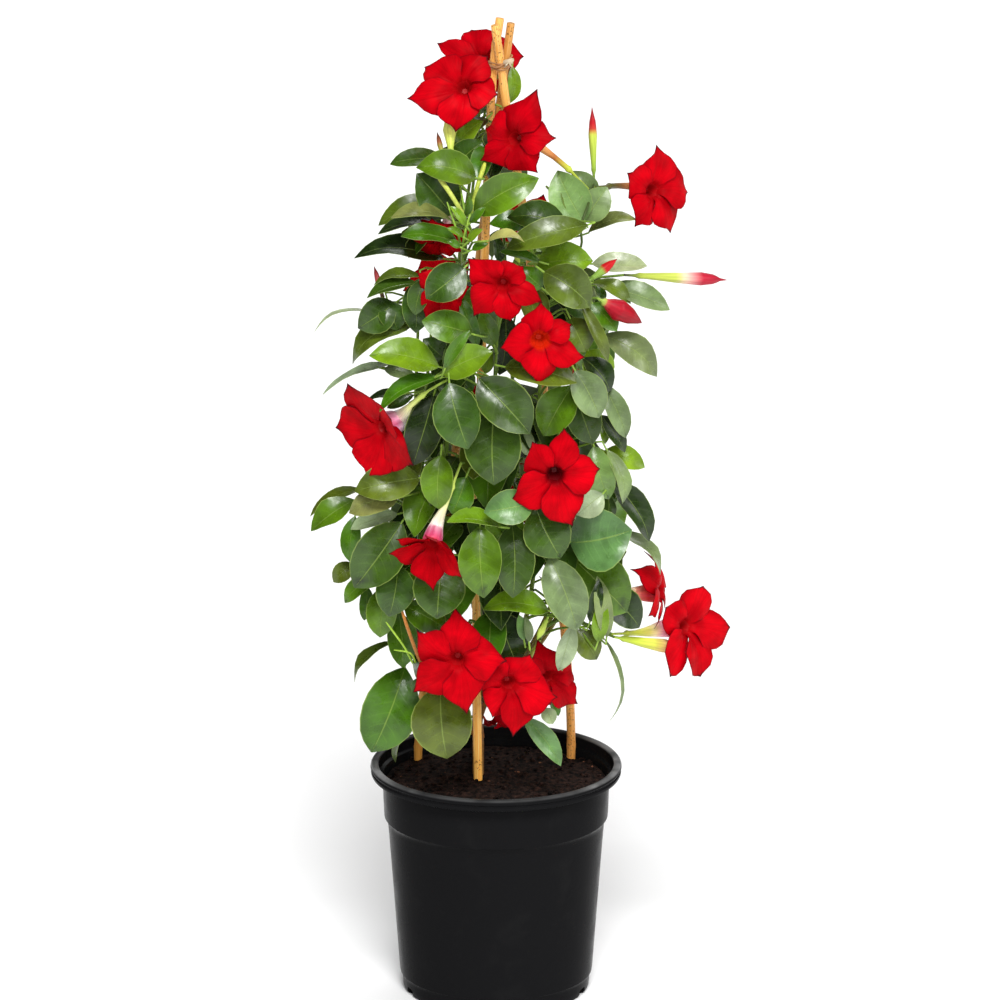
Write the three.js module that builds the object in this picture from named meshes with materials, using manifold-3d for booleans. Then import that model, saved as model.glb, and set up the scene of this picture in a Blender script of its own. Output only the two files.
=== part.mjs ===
// A mandevilla with red trumpet flowers, grown up three bamboo canes in its black nursery pot.
// Millimetres, +Z up. The origin is the middle of the pot's underside, and the front faces -Y.
import * as THREE from "three";
import { mergeVertices } from "three/addons/utils/BufferGeometryUtils.js";
import Module from "manifold-3d";

const wasm = await Module();
wasm.setup();

// ---- Driving dimensions ----

const GAP = 0.3; // clearance between neighbouring pieces
const POT_SEGMENTS = 32;
const RIM_HEIGHT = 210;
const FLOOR_HEIGHT = 3;
const SOIL_HEIGHT = 194;
const SOIL_RADIUS = 99;
const SOCKET_BOTTOM = 34; // how far down the canes are pushed
const CANE_RADIUS = 4.6;
const CANE_SIDES = 10;
const CANE_STEPS = 8;
const TIE_HEIGHT = 839;
const TIE_WIDTH = 7;
const TIE_THICKNESS = 1.4;
const STEM_RADIUS = 2;
const STEM_SIDES = 6;
const STEM_STEPS = 16;
const STEM_ROOT = 176; // the stems go this far down into the soil
const TWIG_RADIUS = 0.9;
const STALK_RADIUS = 0.9; // of a leaf's stalk
const STALK_REACH = 0.08; // a stalk runs into this share of its blade
// A blade's cross-sections between its two ends: share of its length, and of its width there.
const BLADE_RINGS = [
  { share: 0.32, widest: 0.94 },
  { share: 0.72, widest: 0.88 },
];
const BLADE_THICKNESS = 1.4;
const LEAF_GAP = 0.5; // clearance between the leaves of different shoots
const EDGE_MARGIN = 4; // a blade's edge is thin, so it keeps this many times the clearance
const LEAF_FOLD = 0.12; // a leaf's edges stand this share of its half width above its midrib
const LEAF_ARCH = 0.09; // rise of a leaf's middle over its chord, as a share of its length
const THROAT_RADIUS = 9;
const THROAT_DEPTH = 24;
const TUBE_RADIUS = 2.4;
const PEDICEL_RADIUS = 1.1;
const PETALS = 5;
const PETAL_THICKNESS = 1.2;
const PETAL_REFLEX = 5; // a petal's tip lies this far behind the throat's mouth
const NOTCH_SHARE = 0.72; // how far out neighbouring petals part, as a share of their length
const MERGE_DISTANCE = 0.001; // corners this near are one
const SMOOTHING = 0.06; // a joined shoot's faces may move this far to drop its smallest ones
const SMOOTHING_ROUNDS = 3;
const FINE_GRID = 0.01; // a joined shoot's corners lie on this grid

// The pot's section, as [radius, height]: its outside from the foot up, then its inside back down.
const POT_SECTION = [
  [0, 0],
  [80.3, 0],
  [83.3, 3],
  [84.1, 12],
  [85.9, 16],
  [95.6, 145],
  [96.9, 157],
  [99.6, 161],
  [101.3, 199],
  [110, 199],
  [112, 201.5],
  [111.4, 208],
  [107.7, RIM_HEIGHT],
  [104.8, 209],
  [104, 201],
  [99.6, 198],
  [98, 162.5],
  [95.2, 158.5],
  [84.2, 17],
  [81.5, FLOOR_HEIGHT],
  [0, FLOOR_HEIGHT],
];
const DRAIN_COUNT = 8;
const DRAIN_WIDTH = 12;
const DRAIN_HEIGHT = 7;

// ---- The front grid ----
// The plant is laid out on a grid seen from the front, from VIEW_DISTANCE away and VIEW_TILT above the
// level. One column or row is 0.88 mm at the plant's axis. Columns count to the right and rows down,
// and a depth is millimetres behind the axis.

const VIEW_DISTANCE = 6000;
const VIEW_TILT = THREE.MathUtils.degToRad(16);
const VIEW_TARGET = new THREE.Vector3(3.5, 0, 451.8);
const GRID_MIDDLE = 500;
const GRID_FOCUS = 6818;
const AXIS_COLUMN = 496;
const GRID_STEP = 0.88;

const TO_VIEWER = new THREE.Vector3(0, -Math.cos(VIEW_TILT), Math.sin(VIEW_TILT));
const VIEW_UP = new THREE.Vector3(0, Math.sin(VIEW_TILT), Math.cos(VIEW_TILT));
const EYE = VIEW_TARGET.clone().addScaledVector(TO_VIEWER, VIEW_DISTANCE);

/** The line of sight from the eye through a grid point. */
function sight(column, row) {
  return TO_VIEWER.clone()
    .multiplyScalar(-GRID_FOCUS)
    .addScaledVector(VIEW_UP, GRID_MIDDLE - row)
    .add(new THREE.Vector3(column - GRID_MIDDLE, 0, 0));
}

/** The point of the part that shows at a grid point and lies `depth` behind the axis. */
function place(column, row, depth) {
  const ray = sight(column, row);
  return EYE.clone().addScaledVector(ray, (depth - EYE.y) / ray.y);
}

/** The point where the line of sight through a grid point meets a plane. */
function placeOnPlane(column, row, point, normal) {
  const ray = sight(column, row);
  const reach = point.clone().sub(EYE).dot(normal) / ray.dot(normal);
  return EYE.clone().addScaledVector(ray, reach);
}

/** The column and row at which a point of the part shows. */
function gridOf(point) {
  const seen = point.clone().sub(EYE);
  const scale = GRID_FOCUS / -seen.dot(TO_VIEWER);
  return [GRID_MIDDLE + seen.x * scale, GRID_MIDDLE - seen.dot(VIEW_UP) * scale];
}

// The canopy's outline: [row, radius in mm].
const CANOPY = [
  [20, 25],
  [110, 45],
  [160, 80],
  [250, 125],
  [340, 148],
  [520, 152],
  [620, 135],
  [680, 110],
  [760, 85],
];

/** A value from a list of [place, value] pairs, with straight lines between them. */
function between(list, at) {
  const next = list.findIndex(([p]) => p >= at);
  if (next === 0) return list[0][1];
  if (next < 0) return list[list.length - 1][1];
  const [p0, v0] = list[next - 1];
  const [p1, v1] = list[next];
  return THREE.MathUtils.mapLinear(at, p0, p1, v0, v1);
}

/** How far behind the axis a grid point lies in a layer: 1 is the canopy's front, 0 the axis, -1 its back. */
function depthOf(column, row, layer) {
  const across = (column - AXIS_COLUMN) * GRID_STEP;
  const radius = between(CANOPY, row);
  const bulge = Math.sqrt(Math.max(0, radius * radius - across * across));
  return -layer * (0.9 * bulge + 15);
}

// ---- The layout ----

// Leaves: [base column, base row, tip column, tip row, width in mm, turn in degrees, layer, lean in mm].
// A turn of 0 faces the viewer, 90 is edge-on with the upper side up (or right, on a leaf that hangs).
// The lean is how much nearer the viewer the tip is than the base.
const LEAVES = [
  // the crown of the plant
  [515, 66, 512, 104, 13, 20, -0.4, 4],
  [490, 66, 488, 86, 10, 20, -0.4, 3],
  [455, 150, 483, 121, 22, 20, 0.35, 5],
  [453, 168, 483, 141, 26, 15, 0.45, 5],
  [446, 158, 390, 162, 22, 45, 0.5, 5],
  [476, 178, 418, 166, 31, 15, 0.95, 10],
  [452, 214, 420, 174, 36, 10, 0.75, 8],
  [432, 196, 377, 223, 22, 30, 0.5, 5],
  [453, 222, 391, 217, 22, 60, 0.95, 5],
  [446, 225, 378, 233, 22, 62, 0.8, 5],
  [458, 243, 402, 233, 24, 48, 0.9, 6],
  [444, 256, 356, 251, 30, 45, 0.6, 8],
  [474, 213, 537, 178, 32, 5, 0.9, 8],
  [567, 224, 508, 214, 32, 15, 0.55, 5],
  [532, 229, 490, 222, 20, 30, 0.4, 5],
  [584, 222, 558, 171, 36, 0, 0.55, -5],
  [584, 222, 607, 187, 27, 0, 0.7, -3],
  [594, 200, 574, 171, 22, 10, 0.35, 0],
  [588, 225, 506, 247, 28, 25, 0.95, 10],
  [588, 228, 638, 211, 20, 48, 0.7, 5],
  [488, 236, 524, 232, 18, 62, 1, 4],
  [537, 264, 592, 260, 33, 10, 0.75, 8],
  [592, 264, 647, 266, 22, 35, 0.6, 0],
  [544, 272, 591, 306, 36, 5, 1, 12],
  [605, 285, 670, 310, 26, 35, 0.8, 5],
  [592, 283, 632, 301, 16, 35, 0.7, 5],
  [540, 262, 500, 251, 10, 30, 0.8, 3],
  [542, 288, 521, 268, 20, 10, 0.8, 4],
  // the left flank, top down
  [465, 267, 426, 298, 33, 5, 1.12, 10],
  [422, 274, 374, 280, 22, 60, 0.8, 6],
  [418, 284, 367, 298, 24, 58, 0.9, 6],
  [420, 278, 416, 333, 27, 5, 0.75, 12],
  [425, 279, 415, 315, 19, 5, 0.9, 8],
  [387, 300, 359, 330, 34, 0, 0.9, 8],
  [388, 302, 398, 330, 24, 5, 0.8, 8],
  [374, 313, 313, 325, 20, 78, 0.3, 3],
  [414, 323, 349, 360, 32, 35, 0.75, 8],
  [439, 367, 371, 353, 31, 28, 1, 12],
  [444, 358, 424, 339, 22, 10, 0.7, 3],
  [392, 364, 322, 393, 22, 76, 0.5, 5],
  [445, 368, 470, 330, 11, 10, 1, 0],
  [444, 367, 450, 341, 9, 10, 0.95, 0],
  [443, 374, 492, 352, 28, 10, 1, 10],
  [472, 334, 422, 321, 29, 10, 0.95, 8],
  [478, 346, 461, 296, 14, 10, 0.8, 5],
  [494, 345, 480, 311, 18, 10, 0.7, 5],
  [441, 378, 378, 408, 20, 45, 1, 10],
  [403, 394, 362, 400, 18, 50, 0.7, 5],
  [434, 394, 412, 466, 38, 5, 0.85, 10],
  [449, 383, 468, 449, 41, 0, 1.1, 16],
  [472, 392, 447, 360, 24, 10, 0.6, 0],
  // the middle
  [495, 408, 494, 485, 50, 0, 0.97, 20],
  [479, 378, 530, 433, 42, 5, 1.06, 16],
  [505, 367, 577, 381, 32, 25, 0.97, 12],
  [572, 386, 543, 436, 34, 10, 0.85, 8],
  [576, 394, 593, 444, 30, 5, 0.75, 8],
  [570, 318, 586, 352, 30, 0, 0.85, 8],
  [592, 303, 617, 331, 20, 15, 0.75, 5],
  [581, 302, 611, 361, 13, 30, 1, 5],
  [603, 330, 659, 373, 33, 15, 0.7, 5],
  [588, 350, 609, 380, 28, 5, 0.8, 5],
  [583, 358, 612, 392, 24, 30, 0.85, 5],
  [575, 370, 600, 418, 30, 5, 1, 8],
  [606, 382, 631, 438, 24, 15, 0.9, 6],
  [601, 415, 626, 452, 17, 30, 0.8, 4],
  [601, 424, 606, 444, 8, 20, 0.7, 3],
  [604, 451, 645, 467, 21, 20, 0.7, 3],
  [607, 450, 627, 503, 17, 35, 0.95, 6],
  [594, 446, 609, 500, 26, 0, 0.85, 8],
  [603, 494, 577, 515, 24, 0, 0.9, 8],
  [611, 477, 651, 537, 30, 25, 0.7, 5],
  [570, 542, 632, 530, 56, 0, 0.92, 14],
  [622, 528, 665, 558, 15, 60, 0.6, 5],
  [565, 303, 591, 319, 18, 20, 0.7, 5],
  // the lower left
  [466, 477, 452, 514, 26, 5, 0.9, 6],
  [441, 455, 439, 509, 29, -10, 0.98, 10],
  [534, 503, 484, 512, 31, 5, 1.02, 8],
  [500, 525, 447, 516, 22, 62, 1, 6],
  [480, 526, 484, 598, 38, 0, 1.1, 18],
  [512, 523, 513, 598, 35, 5, 0.98, 18],
  [536, 507, 561, 558, 42, 5, 0.95, 12],
  [420, 478, 355, 490, 34, 15, 0.95, 12],
  [398, 498, 349, 512, 24, 15, 1, 8],
  [361, 483, 310, 512, 20, 50, 0.5, 3],
  [355, 500, 311, 531, 26, 35, 0.8, 5],
  [355, 516, 350, 562, 18, 0, 0.7, 5],
  [402, 522, 354, 588, 44, 0, 1, 14],
  [353, 563, 333, 582, 17, 10, 0.8, 4],
  [376, 576, 343, 601, 18, 30, 0.9, 5],
  [398, 564, 389, 617, 34, 0, 0.92, 12],
  [442, 564, 437, 618, 46, 0, 0.97, 22],
  [367, 586, 364, 621, 13, 0, 0.7, 5],
  [384, 586, 380, 638, 27, 0, 0.85, 8],
  [404, 606, 446, 629, 28, 10, 0.75, 5],
  [399, 612, 403, 668, 28, 10, 0.55, 10],
  [394, 642, 350, 677, 16, 60, 0.5, 3],
  [404, 667, 371, 753, 46, 0, 0.85, 12],
  [441, 684, 447, 759, 54, 0, 0.9, 14],
  [405, 728, 394, 762, 9, 50, 0.1, 3],
  [421, 678, 412, 691, 9, 10, 0.8, 2],
  // the lower right
  [497, 612, 517, 664, 38, 5, 0.7, 10],
  [549, 611, 485, 605, 26, 35, 0.9, 10],
  [524, 640, 519, 615, 11, 10, 0.75, 2],
  [529, 642, 526, 617, 8, 10, 0.8, 2],
  [550, 557, 577, 631, 37, 0, 1.08, 16],
  [571, 624, 556, 672, 14, 20, 1.02, 6],
  [574, 630, 562, 671, 10, 20, 0.95, 6],
  [576, 630, 598, 659, 24, 15, 0.85, 6],
  [590, 622, 600, 579, 13, 10, 0.95, 0],
  [607, 637, 599, 577, 17, 20, 1, 0],
  [598, 642, 603, 598, 15, 10, 1.03, 0],
  [572, 558, 628, 612, 50, 5, 0.75, 10],
  [604, 598, 641, 624, 22, 20, 0.75, 3],
  [601, 650, 615, 722, 8, 50, 0.7, 3],
  [544, 708, 553, 724, 14, 10, 0.6, 3],
  [524, 717, 561, 766, 19, 10, 0.8, 5],
];

// Flowers: their throat's [column, row], the layer it lies in, the azimuth (to the right) and the
// elevation they face, the end of their stalk as [column, row, layer], and either their five petals'
// tips as [column, row] or a radius in mm and a spin in degrees.
const FLOWERS = [
  {
    throat: [484, 62],
    layer: -0.75,
    face: [-10, 25],
    stalk: [482, 128, -0.3],
    tips: [[478, 27], [435, 47], [452, 68], [505, 92], [524, 54]],
  },
  {
    throat: [463, 86],
    layer: 0.85,
    face: [-8, 32],
    stalk: [463, 208, 0.5],
    tips: [[487, 57], [425, 68], [409, 102], [458, 131], [498, 98]],
  },
  {
    throat: [513, 139],
    layer: 0.95,
    face: [-25, 8],
    stalk: [588, 189, 0.55],
    tips: [[541, 91], [483, 138], [492, 169], [536, 174], [555, 148]],
  },
  {
    throat: [654, 191],
    layer: 0.9,
    face: [32, 3],
    stalk: [595, 185, 0.55],
    tips: [[659, 145], [627, 175], [633, 226], [672, 231], [691, 190]],
  },
  {
    throat: [439, 246],
    layer: 0.8,
    face: [-20, -62],
    stalk: [459, 218, 0.5],
    radius: 33,
    spin: 20,
  },
  {
    throat: [445, 288],
    layer: 0.9,
    face: [-10, 0],
    stalk: [470, 300, 0.4],
    tips: [[449, 259], [419, 270], [424, 318], [458, 320], [470, 286]],
  },
  {
    throat: [502, 284],
    layer: 1.1,
    face: [-5, 5],
    stalk: [498, 330, 0.5],
    tips: [[525, 268], [465, 258], [471, 315], [516, 323], [546, 299]],
  },
  {
    throat: [540, 340],
    layer: 1.1,
    face: [5, 3],
    stalk: [548, 372, 0.5],
    tips: [[543, 303], [499, 343], [540, 387], [584, 362], [572, 322]],
  },
  {
    throat: [375, 428],
    layer: 1.05,
    face: [-42, -14],
    stalk: [447, 380, 0.85],
    tips: [[349, 384], [335, 421], [367, 474], [414, 464], [398, 410]],
  },
  {
    throat: [555, 475],
    layer: 1.12,
    face: [3, -3],
    stalk: [560, 430, 0.6],
    tips: [[566, 427], [526, 443], [512, 503], [567, 530], [600, 466]],
  },
  {
    throat: [430, 546],
    layer: 1.15,
    face: [-25, -52],
    stalk: [461, 463, 0.85],
    radius: 40,
    spin: 0,
  },
  {
    throat: [457, 660],
    layer: 1.1,
    face: [-3, 0],
    stalk: [470, 620, 0.4],
    tips: [[457, 606], [414, 632], [411, 692], [470, 713], [507, 656]],
  },
  {
    throat: [509, 684],
    layer: 1,
    face: [8, -3],
    stalk: [505, 640, 0.3],
    tips: [[523, 656], [481, 672], [484, 712], [516, 736], [552, 696]],
  },
  {
    throat: [549, 678],
    layer: 0.75,
    face: [25, -8],
    stalk: [540, 640, 0.3],
    tips: [[536, 642], [523, 660], [540, 706], [574, 708], [573, 667]],
  },
  {
    throat: [498, 722],
    layer: 0.4,
    face: [-10, -60],
    stalk: [503, 700, 0.2],
    radius: 17,
    spin: 30,
  },
  {
    throat: [650, 594],
    layer: 0.9,
    face: [75, 8],
    stalk: [602, 600, 0.7],
    radius: 36,
    spin: 10,
  },
  {
    throat: [693, 628],
    layer: 0.9,
    face: [36, -4],
    stalk: [612, 634, 0.8],
    tips: [[698, 586], [668, 606], [666, 674], [700, 677], [727, 630]],
  },
];

// Flowers that face the back, laid out the same way and then turned half round the axis.
const BACK_FLOWERS = [
  { throat: [450, 240], layer: 1.1, face: [-15, 5], stalk: [462, 275, 0.6], radius: 38, spin: 10 },
  { throat: [530, 330], layer: 1.08, face: [10, 0], stalk: [520, 365, 0.6], radius: 40, spin: 50 },
  { throat: [430, 400], layer: 1.08, face: [-25, -5], stalk: [450, 430, 0.6], radius: 39, spin: 35 },
  { throat: [540, 500], layer: 1.08, face: [15, -5], stalk: [530, 465, 0.6], radius: 41, spin: 20 },
  { throat: [455, 590], layer: 1.08, face: [-10, -15], stalk: [468, 555, 0.6], radius: 40, spin: 62 },
];

// Buds: base and tip as [column, row], layer of each, greatest radius in mm, and where along the bud
// it is that thick.
const BUDS = [
  { base: [594, 181], tip: [592, 107], layers: [0.55, 0.6], radius: 3.8, fattest: 0.62 },
  { base: [589, 281], tip: [617, 259], layers: [0.8, 1], radius: 4.2, fattest: 0.55 },
  { base: [624, 275], tip: [727, 279], layers: [0.8, 0.8], radius: 5.4, fattest: 0.72 },
  { base: [597, 298], tip: [642, 323], layers: [0.9, 1.1], radius: 9.5, fattest: 0.45 },
  { base: [384, 302], tip: [374, 266], layers: [0.7, 0.7], radius: 2.6, fattest: 0.6 },
  { base: [444, 162], tip: [437, 132], layers: [0.6, 0.7], radius: 2.4, fattest: 0.6 },
  { base: [548, 617], tip: [537, 640], layers: [0.8, 0.9], radius: 3.2, fattest: 0.6 },
  { base: [615, 640], tip: [665, 624], layers: [0.6, 0.7], radius: 3.4, fattest: 0.8 },
];

// Where the foliage's outline runs in the front grid: [row, left column], and the same on the right.
const LEFT_EDGE = [
  [60, 460],
  [140, 450],
  [200, 420],
  [260, 395],
  [300, 425],
  [350, 430],
  [400, 410],
  [480, 365],
  [570, 358],
  [620, 395],
  [700, 420],
];
const RIGHT_EDGE = [
  [60, 520],
  [130, 545],
  [160, 530],
  [180, 598],
  [300, 600],
  [400, 618],
  [440, 598],
  [500, 622],
  [600, 622],
  [625, 520],
  [700, 515],
];
// Windows in the foliage that show what is behind it: [left column, top row, right column, bottom row].
const WINDOWS = [
  [453, 186, 477, 208],
  [495, 198, 532, 214],
  [564, 232, 582, 250],
  [440, 254, 460, 262],
  [418, 322, 434, 346],
  [392, 360, 404, 386],
  [498, 350, 516, 372],
  [570, 382, 594, 400],
  [596, 426, 616, 450],
  [528, 614, 558, 664],
  [374, 504, 394, 532],
];
const LOWEST_FILLER_ROW = 700;
const BACK_SHARE = 0.74; // leaves within this share of the canopy's radius repeat on the back
const BACK_DROP = 8;
const FILLERS = 38;
const GOLDEN_ANGLE = Math.PI * (3 - Math.sqrt(5));

// Canes: [x, y, z] at their foot in the soil, then [column, row, depth] points up to their top.
const CANES = {
  cane_front: {
    foot: [-15.5, -9, SOCKET_BOTTOM + 2],
    way: [[478, 782, -10], [476.5, 612, -8], [486, 220, 0], [494, 62, 4], [498, 18, 6]],
  },
  cane_left: {
    foot: [-54, 44, SOCKET_BOTTOM + 2],
    way: [[418, 758, 55], [440, 580, 47], [484, 220, 20], [505, 66, 9], [511, 23, 7]],
  },
  cane_right: {
    foot: [54, 50, SOCKET_BOTTOM + 2],
    way: [[571, 754, 58], [562, 600, 45], [529, 252, 8], [507, 110, -3], [501, 66, -5], [496, 25, -7]],
  },
};

// Vines: azimuth round the axis in degrees at mid height, and the height that each one reaches.
const VINES = [
  { azimuth: 254, top: 640 },
  { azimuth: 290, top: 700 },
  { azimuth: 322, top: 610 },
  { azimuth: 354, top: 720 },
  { azimuth: 24, top: 600 },
  { azimuth: 66, top: 690 },
  { azimuth: 110, top: 800 },
  { azimuth: 158, top: 620 },
  { azimuth: 196, top: 640 },
  { azimuth: 224, top: 750 },
];
const CROWN = { x: -16, y: 9, across: 2.4, behind: 10 }; // the stems leave the soil in two rows
const CROWN_TOP = 250; // up to here the stems stand close together
const VINE_SHARE = 0.48; // the vines climb at this share of the canopy's radius
const VINE_TWIST = 18; // degrees that a vine turns on its way up
const VINE_POINTS = 40;

// ---- Solids ----

/** A closed geometry as a manifold-3d solid that faces out. */
function solidOf(geometry) {
  const bare = geometry.clone();
  bare.deleteAttribute("normal");
  bare.deleteAttribute("uv");
  const merged = mergeVertices(bare, MERGE_DISTANCE);
  const corners = merged.index.array;
  const kept = [];
  for (let i = 0; i < corners.length; i += 3) {
    const [a, b, c] = corners.slice(i, i + 3);
    if (a !== b && b !== c && c !== a) kept.push(a, b, c);
  }
  const vertProperties = new Float32Array(merged.attributes.position.array);
  const make = (triVerts) => new wasm.Manifold(new wasm.Mesh({ numProp: 3, vertProperties, triVerts }));
  const solid = make(new Uint32Array(kept));
  return solid.volume() < 0 ? make(new Uint32Array(kept.reverse())) : solid;
}

/** One solid from several, or null from none. */
function joined(solids) {
  return solids.length ? solids.reduce((whole, solid) => whole.add(solid)) : null;
}

/** The largest of a solid's separate bodies. */
function largest(solid) {
  return solid.decompose().reduce((most, body) => (body.volume() > most.volume() ? body : most));
}

/** A solid less all the others that it must stay clear of, as its largest remaining body. */
function clearOf(solid, others) {
  return largest(solid.subtract(joined(others)));
}

/** The triangles of a solid as a geometry. */
function geometryOf(solid) {
  const made = solid.getMesh();
  const geometry = new THREE.BufferGeometry();
  geometry.setAttribute("position", new THREE.BufferAttribute(new Float32Array(made.vertProperties), 3));
  geometry.setIndex(new THREE.BufferAttribute(new Uint32Array(made.triVerts), 1));
  return geometry;
}

/** A solid with each corner on the nearest point of a fine grid. */
function onGrid(solid) {
  const geometry = geometryOf(solid);
  const corners = geometry.attributes.position.array;
  corners.forEach((value, i) => {
    corners[i] = Math.round(value / FINE_GRID) * FINE_GRID;
  });
  return solidOf(geometry);
}

/** The largest body of a solid, without its smallest faces. */
function smoothed(solid) {
  let body = solid;
  for (let round = 0; round < SMOOTHING_ROUNDS; round += 1) body = largest(onGrid(body).simplify(SMOOTHING));
  return largest(onGrid(body));
}

/** A named mesh of a solid. */
function meshOf(name, solid, material) {
  const geometry = geometryOf(solid);
  geometry.computeVertexNormals();
  const mesh = new THREE.Mesh(geometry, material);
  mesh.name = name;
  return mesh;
}

/** A rod of a regular section along a curve. */
function rod(curve, radius, sides, steps) {
  const section = new THREE.Shape();
  for (let i = 0; i < sides; i += 1) {
    const angle = (2 * Math.PI * i) / sides;
    const point = [radius * Math.cos(angle), radius * Math.sin(angle)];
    if (i === 0) section.moveTo(...point);
    else section.lineTo(...point);
  }
  return solidOf(new THREE.ExtrudeGeometry(section, { steps, extrudePath: curve, bevelEnabled: false }));
}

/** A surface of revolution, [radius, distance along] from end to end, that follows a curve. */
function bentLathe(profile, segments, curve, shape = (radius, angle) => [radius, angle]) {
  const points = profile.map(([radius, along]) => new THREE.Vector2(radius, along));
  const geometry = new THREE.LatheGeometry(points, segments);
  const length = curve.getLength();
  const stations = 32;
  const frames = curve.computeFrenetFrames(stations);
  const spots = geometry.attributes.position;
  for (let i = 0; i < spots.count; i += 1) {
    const column = Math.floor(i / profile.length) % segments;
    const [radius, along] = profile[i % profile.length];
    const share = THREE.MathUtils.clamp(along / length, 0, 1);
    const station = Math.round(share * stations);
    const centre = curve.getPointAt(share);
    const [reach, angle] = shape(radius, (2 * Math.PI * column) / segments, column);
    const overshoot = along - share * length;
    centre.addScaledVector(frames.tangents[station], overshoot);
    centre.addScaledVector(frames.normals[station], reach * Math.cos(angle));
    centre.addScaledVector(frames.binormals[station], reach * Math.sin(angle));
    spots.setXYZ(i, centre.x, centre.y, centre.z);
  }
  return solidOf(geometry);
}

// ---- Pot and soil ----

function potSolid() {
  const points = POT_SECTION.map(([radius, height]) => new THREE.Vector2(radius, height));
  const shell = new THREE.LatheGeometry(points, POT_SEGMENTS).rotateX(Math.PI / 2);
  let pot = solidOf(shell);
  for (let i = 0; i < DRAIN_COUNT; i += 1) {
    const notch = new THREE.BoxGeometry(14, DRAIN_WIDTH, 2 * DRAIN_HEIGHT);
    notch.translate(84, 0, 0);
    notch.rotateZ((2 * Math.PI * (i + 0.5)) / DRAIN_COUNT);
    pot = pot.subtract(solidOf(notch));
  }
  return pot;
}

function soilSolid() {
  const wall = POT_SECTION.filter(([radius, height], i) => i > 14 && radius > 0 && height < SOIL_HEIGHT);
  const side = wall.reverse().map(([radius, height]) => [radius - GAP, Math.max(height, FLOOR_HEIGHT + GAP)]);
  const section = [
    [0, FLOOR_HEIGHT + GAP],
    ...side,
    [SOIL_RADIUS - GAP, SOIL_HEIGHT - 2],
    [92, SOIL_HEIGHT],
    [50, SOIL_HEIGHT + 1.5],
    [0, SOIL_HEIGHT + 1],
  ];
  const points = section.map(([radius, height]) => new THREE.Vector2(radius, height));
  return solidOf(new THREE.LatheGeometry(points, POT_SEGMENTS).rotateX(Math.PI / 2));
}

// ---- Canes and their tie ----

function caneCurve({ foot, way }) {
  const points = [new THREE.Vector3(...foot), ...way.map((point) => place(...point))];
  return new THREE.CatmullRomCurve3(points, false, "centripetal");
}

const caneCurves = Object.fromEntries(Object.entries(CANES).map(([name, cane]) => [name, caneCurve(cane)]));

function caneSolid(name, grow = 0) {
  return rod(caneCurves[name], CANE_RADIUS + grow, CANE_SIDES, CANE_STEPS);
}

/** The point of a curve at a height, for a curve that rises all the way. */
function atHeight(curve, height) {
  let low = 0;
  let high = 1;
  for (let i = 0; i < 30; i += 1) {
    const middle = (low + high) / 2;
    if (curve.getPointAt(middle).z < height) low = middle;
    else high = middle;
  }
  return curve.getPointAt(low);
}

/** The loop round all three canes at the tie's height, `off` outside them. */
function loopRoundCanes(off) {
  const centres = Object.values(caneCurves).map((curve) => atHeight(curve, TIE_HEIGHT));
  const points = [];
  for (let degrees = 0; degrees < 360; degrees += 20) {
    const way = new THREE.Vector2(1, 0).rotateAround(new THREE.Vector2(), THREE.MathUtils.degToRad(degrees));
    const reach = (centre) => centre.x * way.x + centre.y * way.y;
    const outer = centres.reduce((most, centre) => (reach(centre) > reach(most) ? centre : most));
    points.push(new THREE.Vector2(outer.x, outer.y).addScaledVector(way, CANE_RADIUS + off));
  }
  return points;
}

function tieSolid() {
  const band = new THREE.Shape(loopRoundCanes(GAP + TIE_THICKNESS));
  band.holes.push(new THREE.Path(loopRoundCanes(GAP - 0.2)));
  const geometry = new THREE.ExtrudeGeometry(band, { depth: TIE_WIDTH, bevelEnabled: false });
  geometry.translate(0, 0, TIE_HEIGHT - TIE_WIDTH / 2);
  return solidOf(geometry);
}

// ---- Leaves ----

/** A leaf's base, tip and upper side in the part, from its row in the layout. */
function leafAt([baseColumn, baseRow, tipColumn, tipRow, width, turn, layer, lean]) {
  const depth = depthOf((baseColumn + tipColumn) / 2, (baseRow + tipRow) / 2, layer);
  const base = place(baseColumn, baseRow, depth + lean / 2);
  const tip = place(tipColumn, tipRow, depth - lean / 2);
  const along = tip.clone().sub(base).normalize();
  const facing = TO_VIEWER.clone().addScaledVector(along, -TO_VIEWER.dot(along)).normalize();
  const side = new THREE.Vector3().crossVectors(along, facing);
  const hangs = Math.abs(side.z) < 0.25;
  if (hangs ? side.x < 0 : side.z < 0) side.negate();
  const angle = THREE.MathUtils.degToRad(turn);
  const normal = facing.multiplyScalar(Math.cos(angle)).addScaledVector(side, Math.sin(angle));
  return { base, tip, normal, width };
}

/** A leaf turned about the plant's axis by an angle and let down by `drop`. */
function turned(leaf, angle, drop) {
  const axis = new THREE.Vector3(0, 0, 1);
  const down = new THREE.Vector3(0, 0, -drop);
  return {
    base: leaf.base.clone().applyAxisAngle(axis, angle).add(down),
    tip: leaf.tip.clone().applyAxisAngle(axis, angle).add(down),
    normal: leaf.normal.clone().applyAxisAngle(axis, angle),
    width: leaf.width,
  };
}

/** Whether a point may hold foliage that the front layout doesn't list. */
function isHidden(point, margin) {
  const [column, row] = gridOf(point);
  if (row > LOWEST_FILLER_ROW) return false;
  const inside = column > between(LEFT_EDGE, row) + margin && column < between(RIGHT_EDGE, row) - margin;
  const shows = ([left, top, right, bottom]) =>
    column > left - margin && column < right + margin && row > top - margin && row < bottom + margin;
  return inside && !WINDOWS.some(shows);
}

function isLeafHidden({ base, tip, width }) {
  const steps = [0, 0.25, 0.5, 0.75, 1];
  return steps.every((share) => isHidden(base.clone().lerp(tip, share), share % 1 ? 0.35 * width : 3));
}

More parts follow.
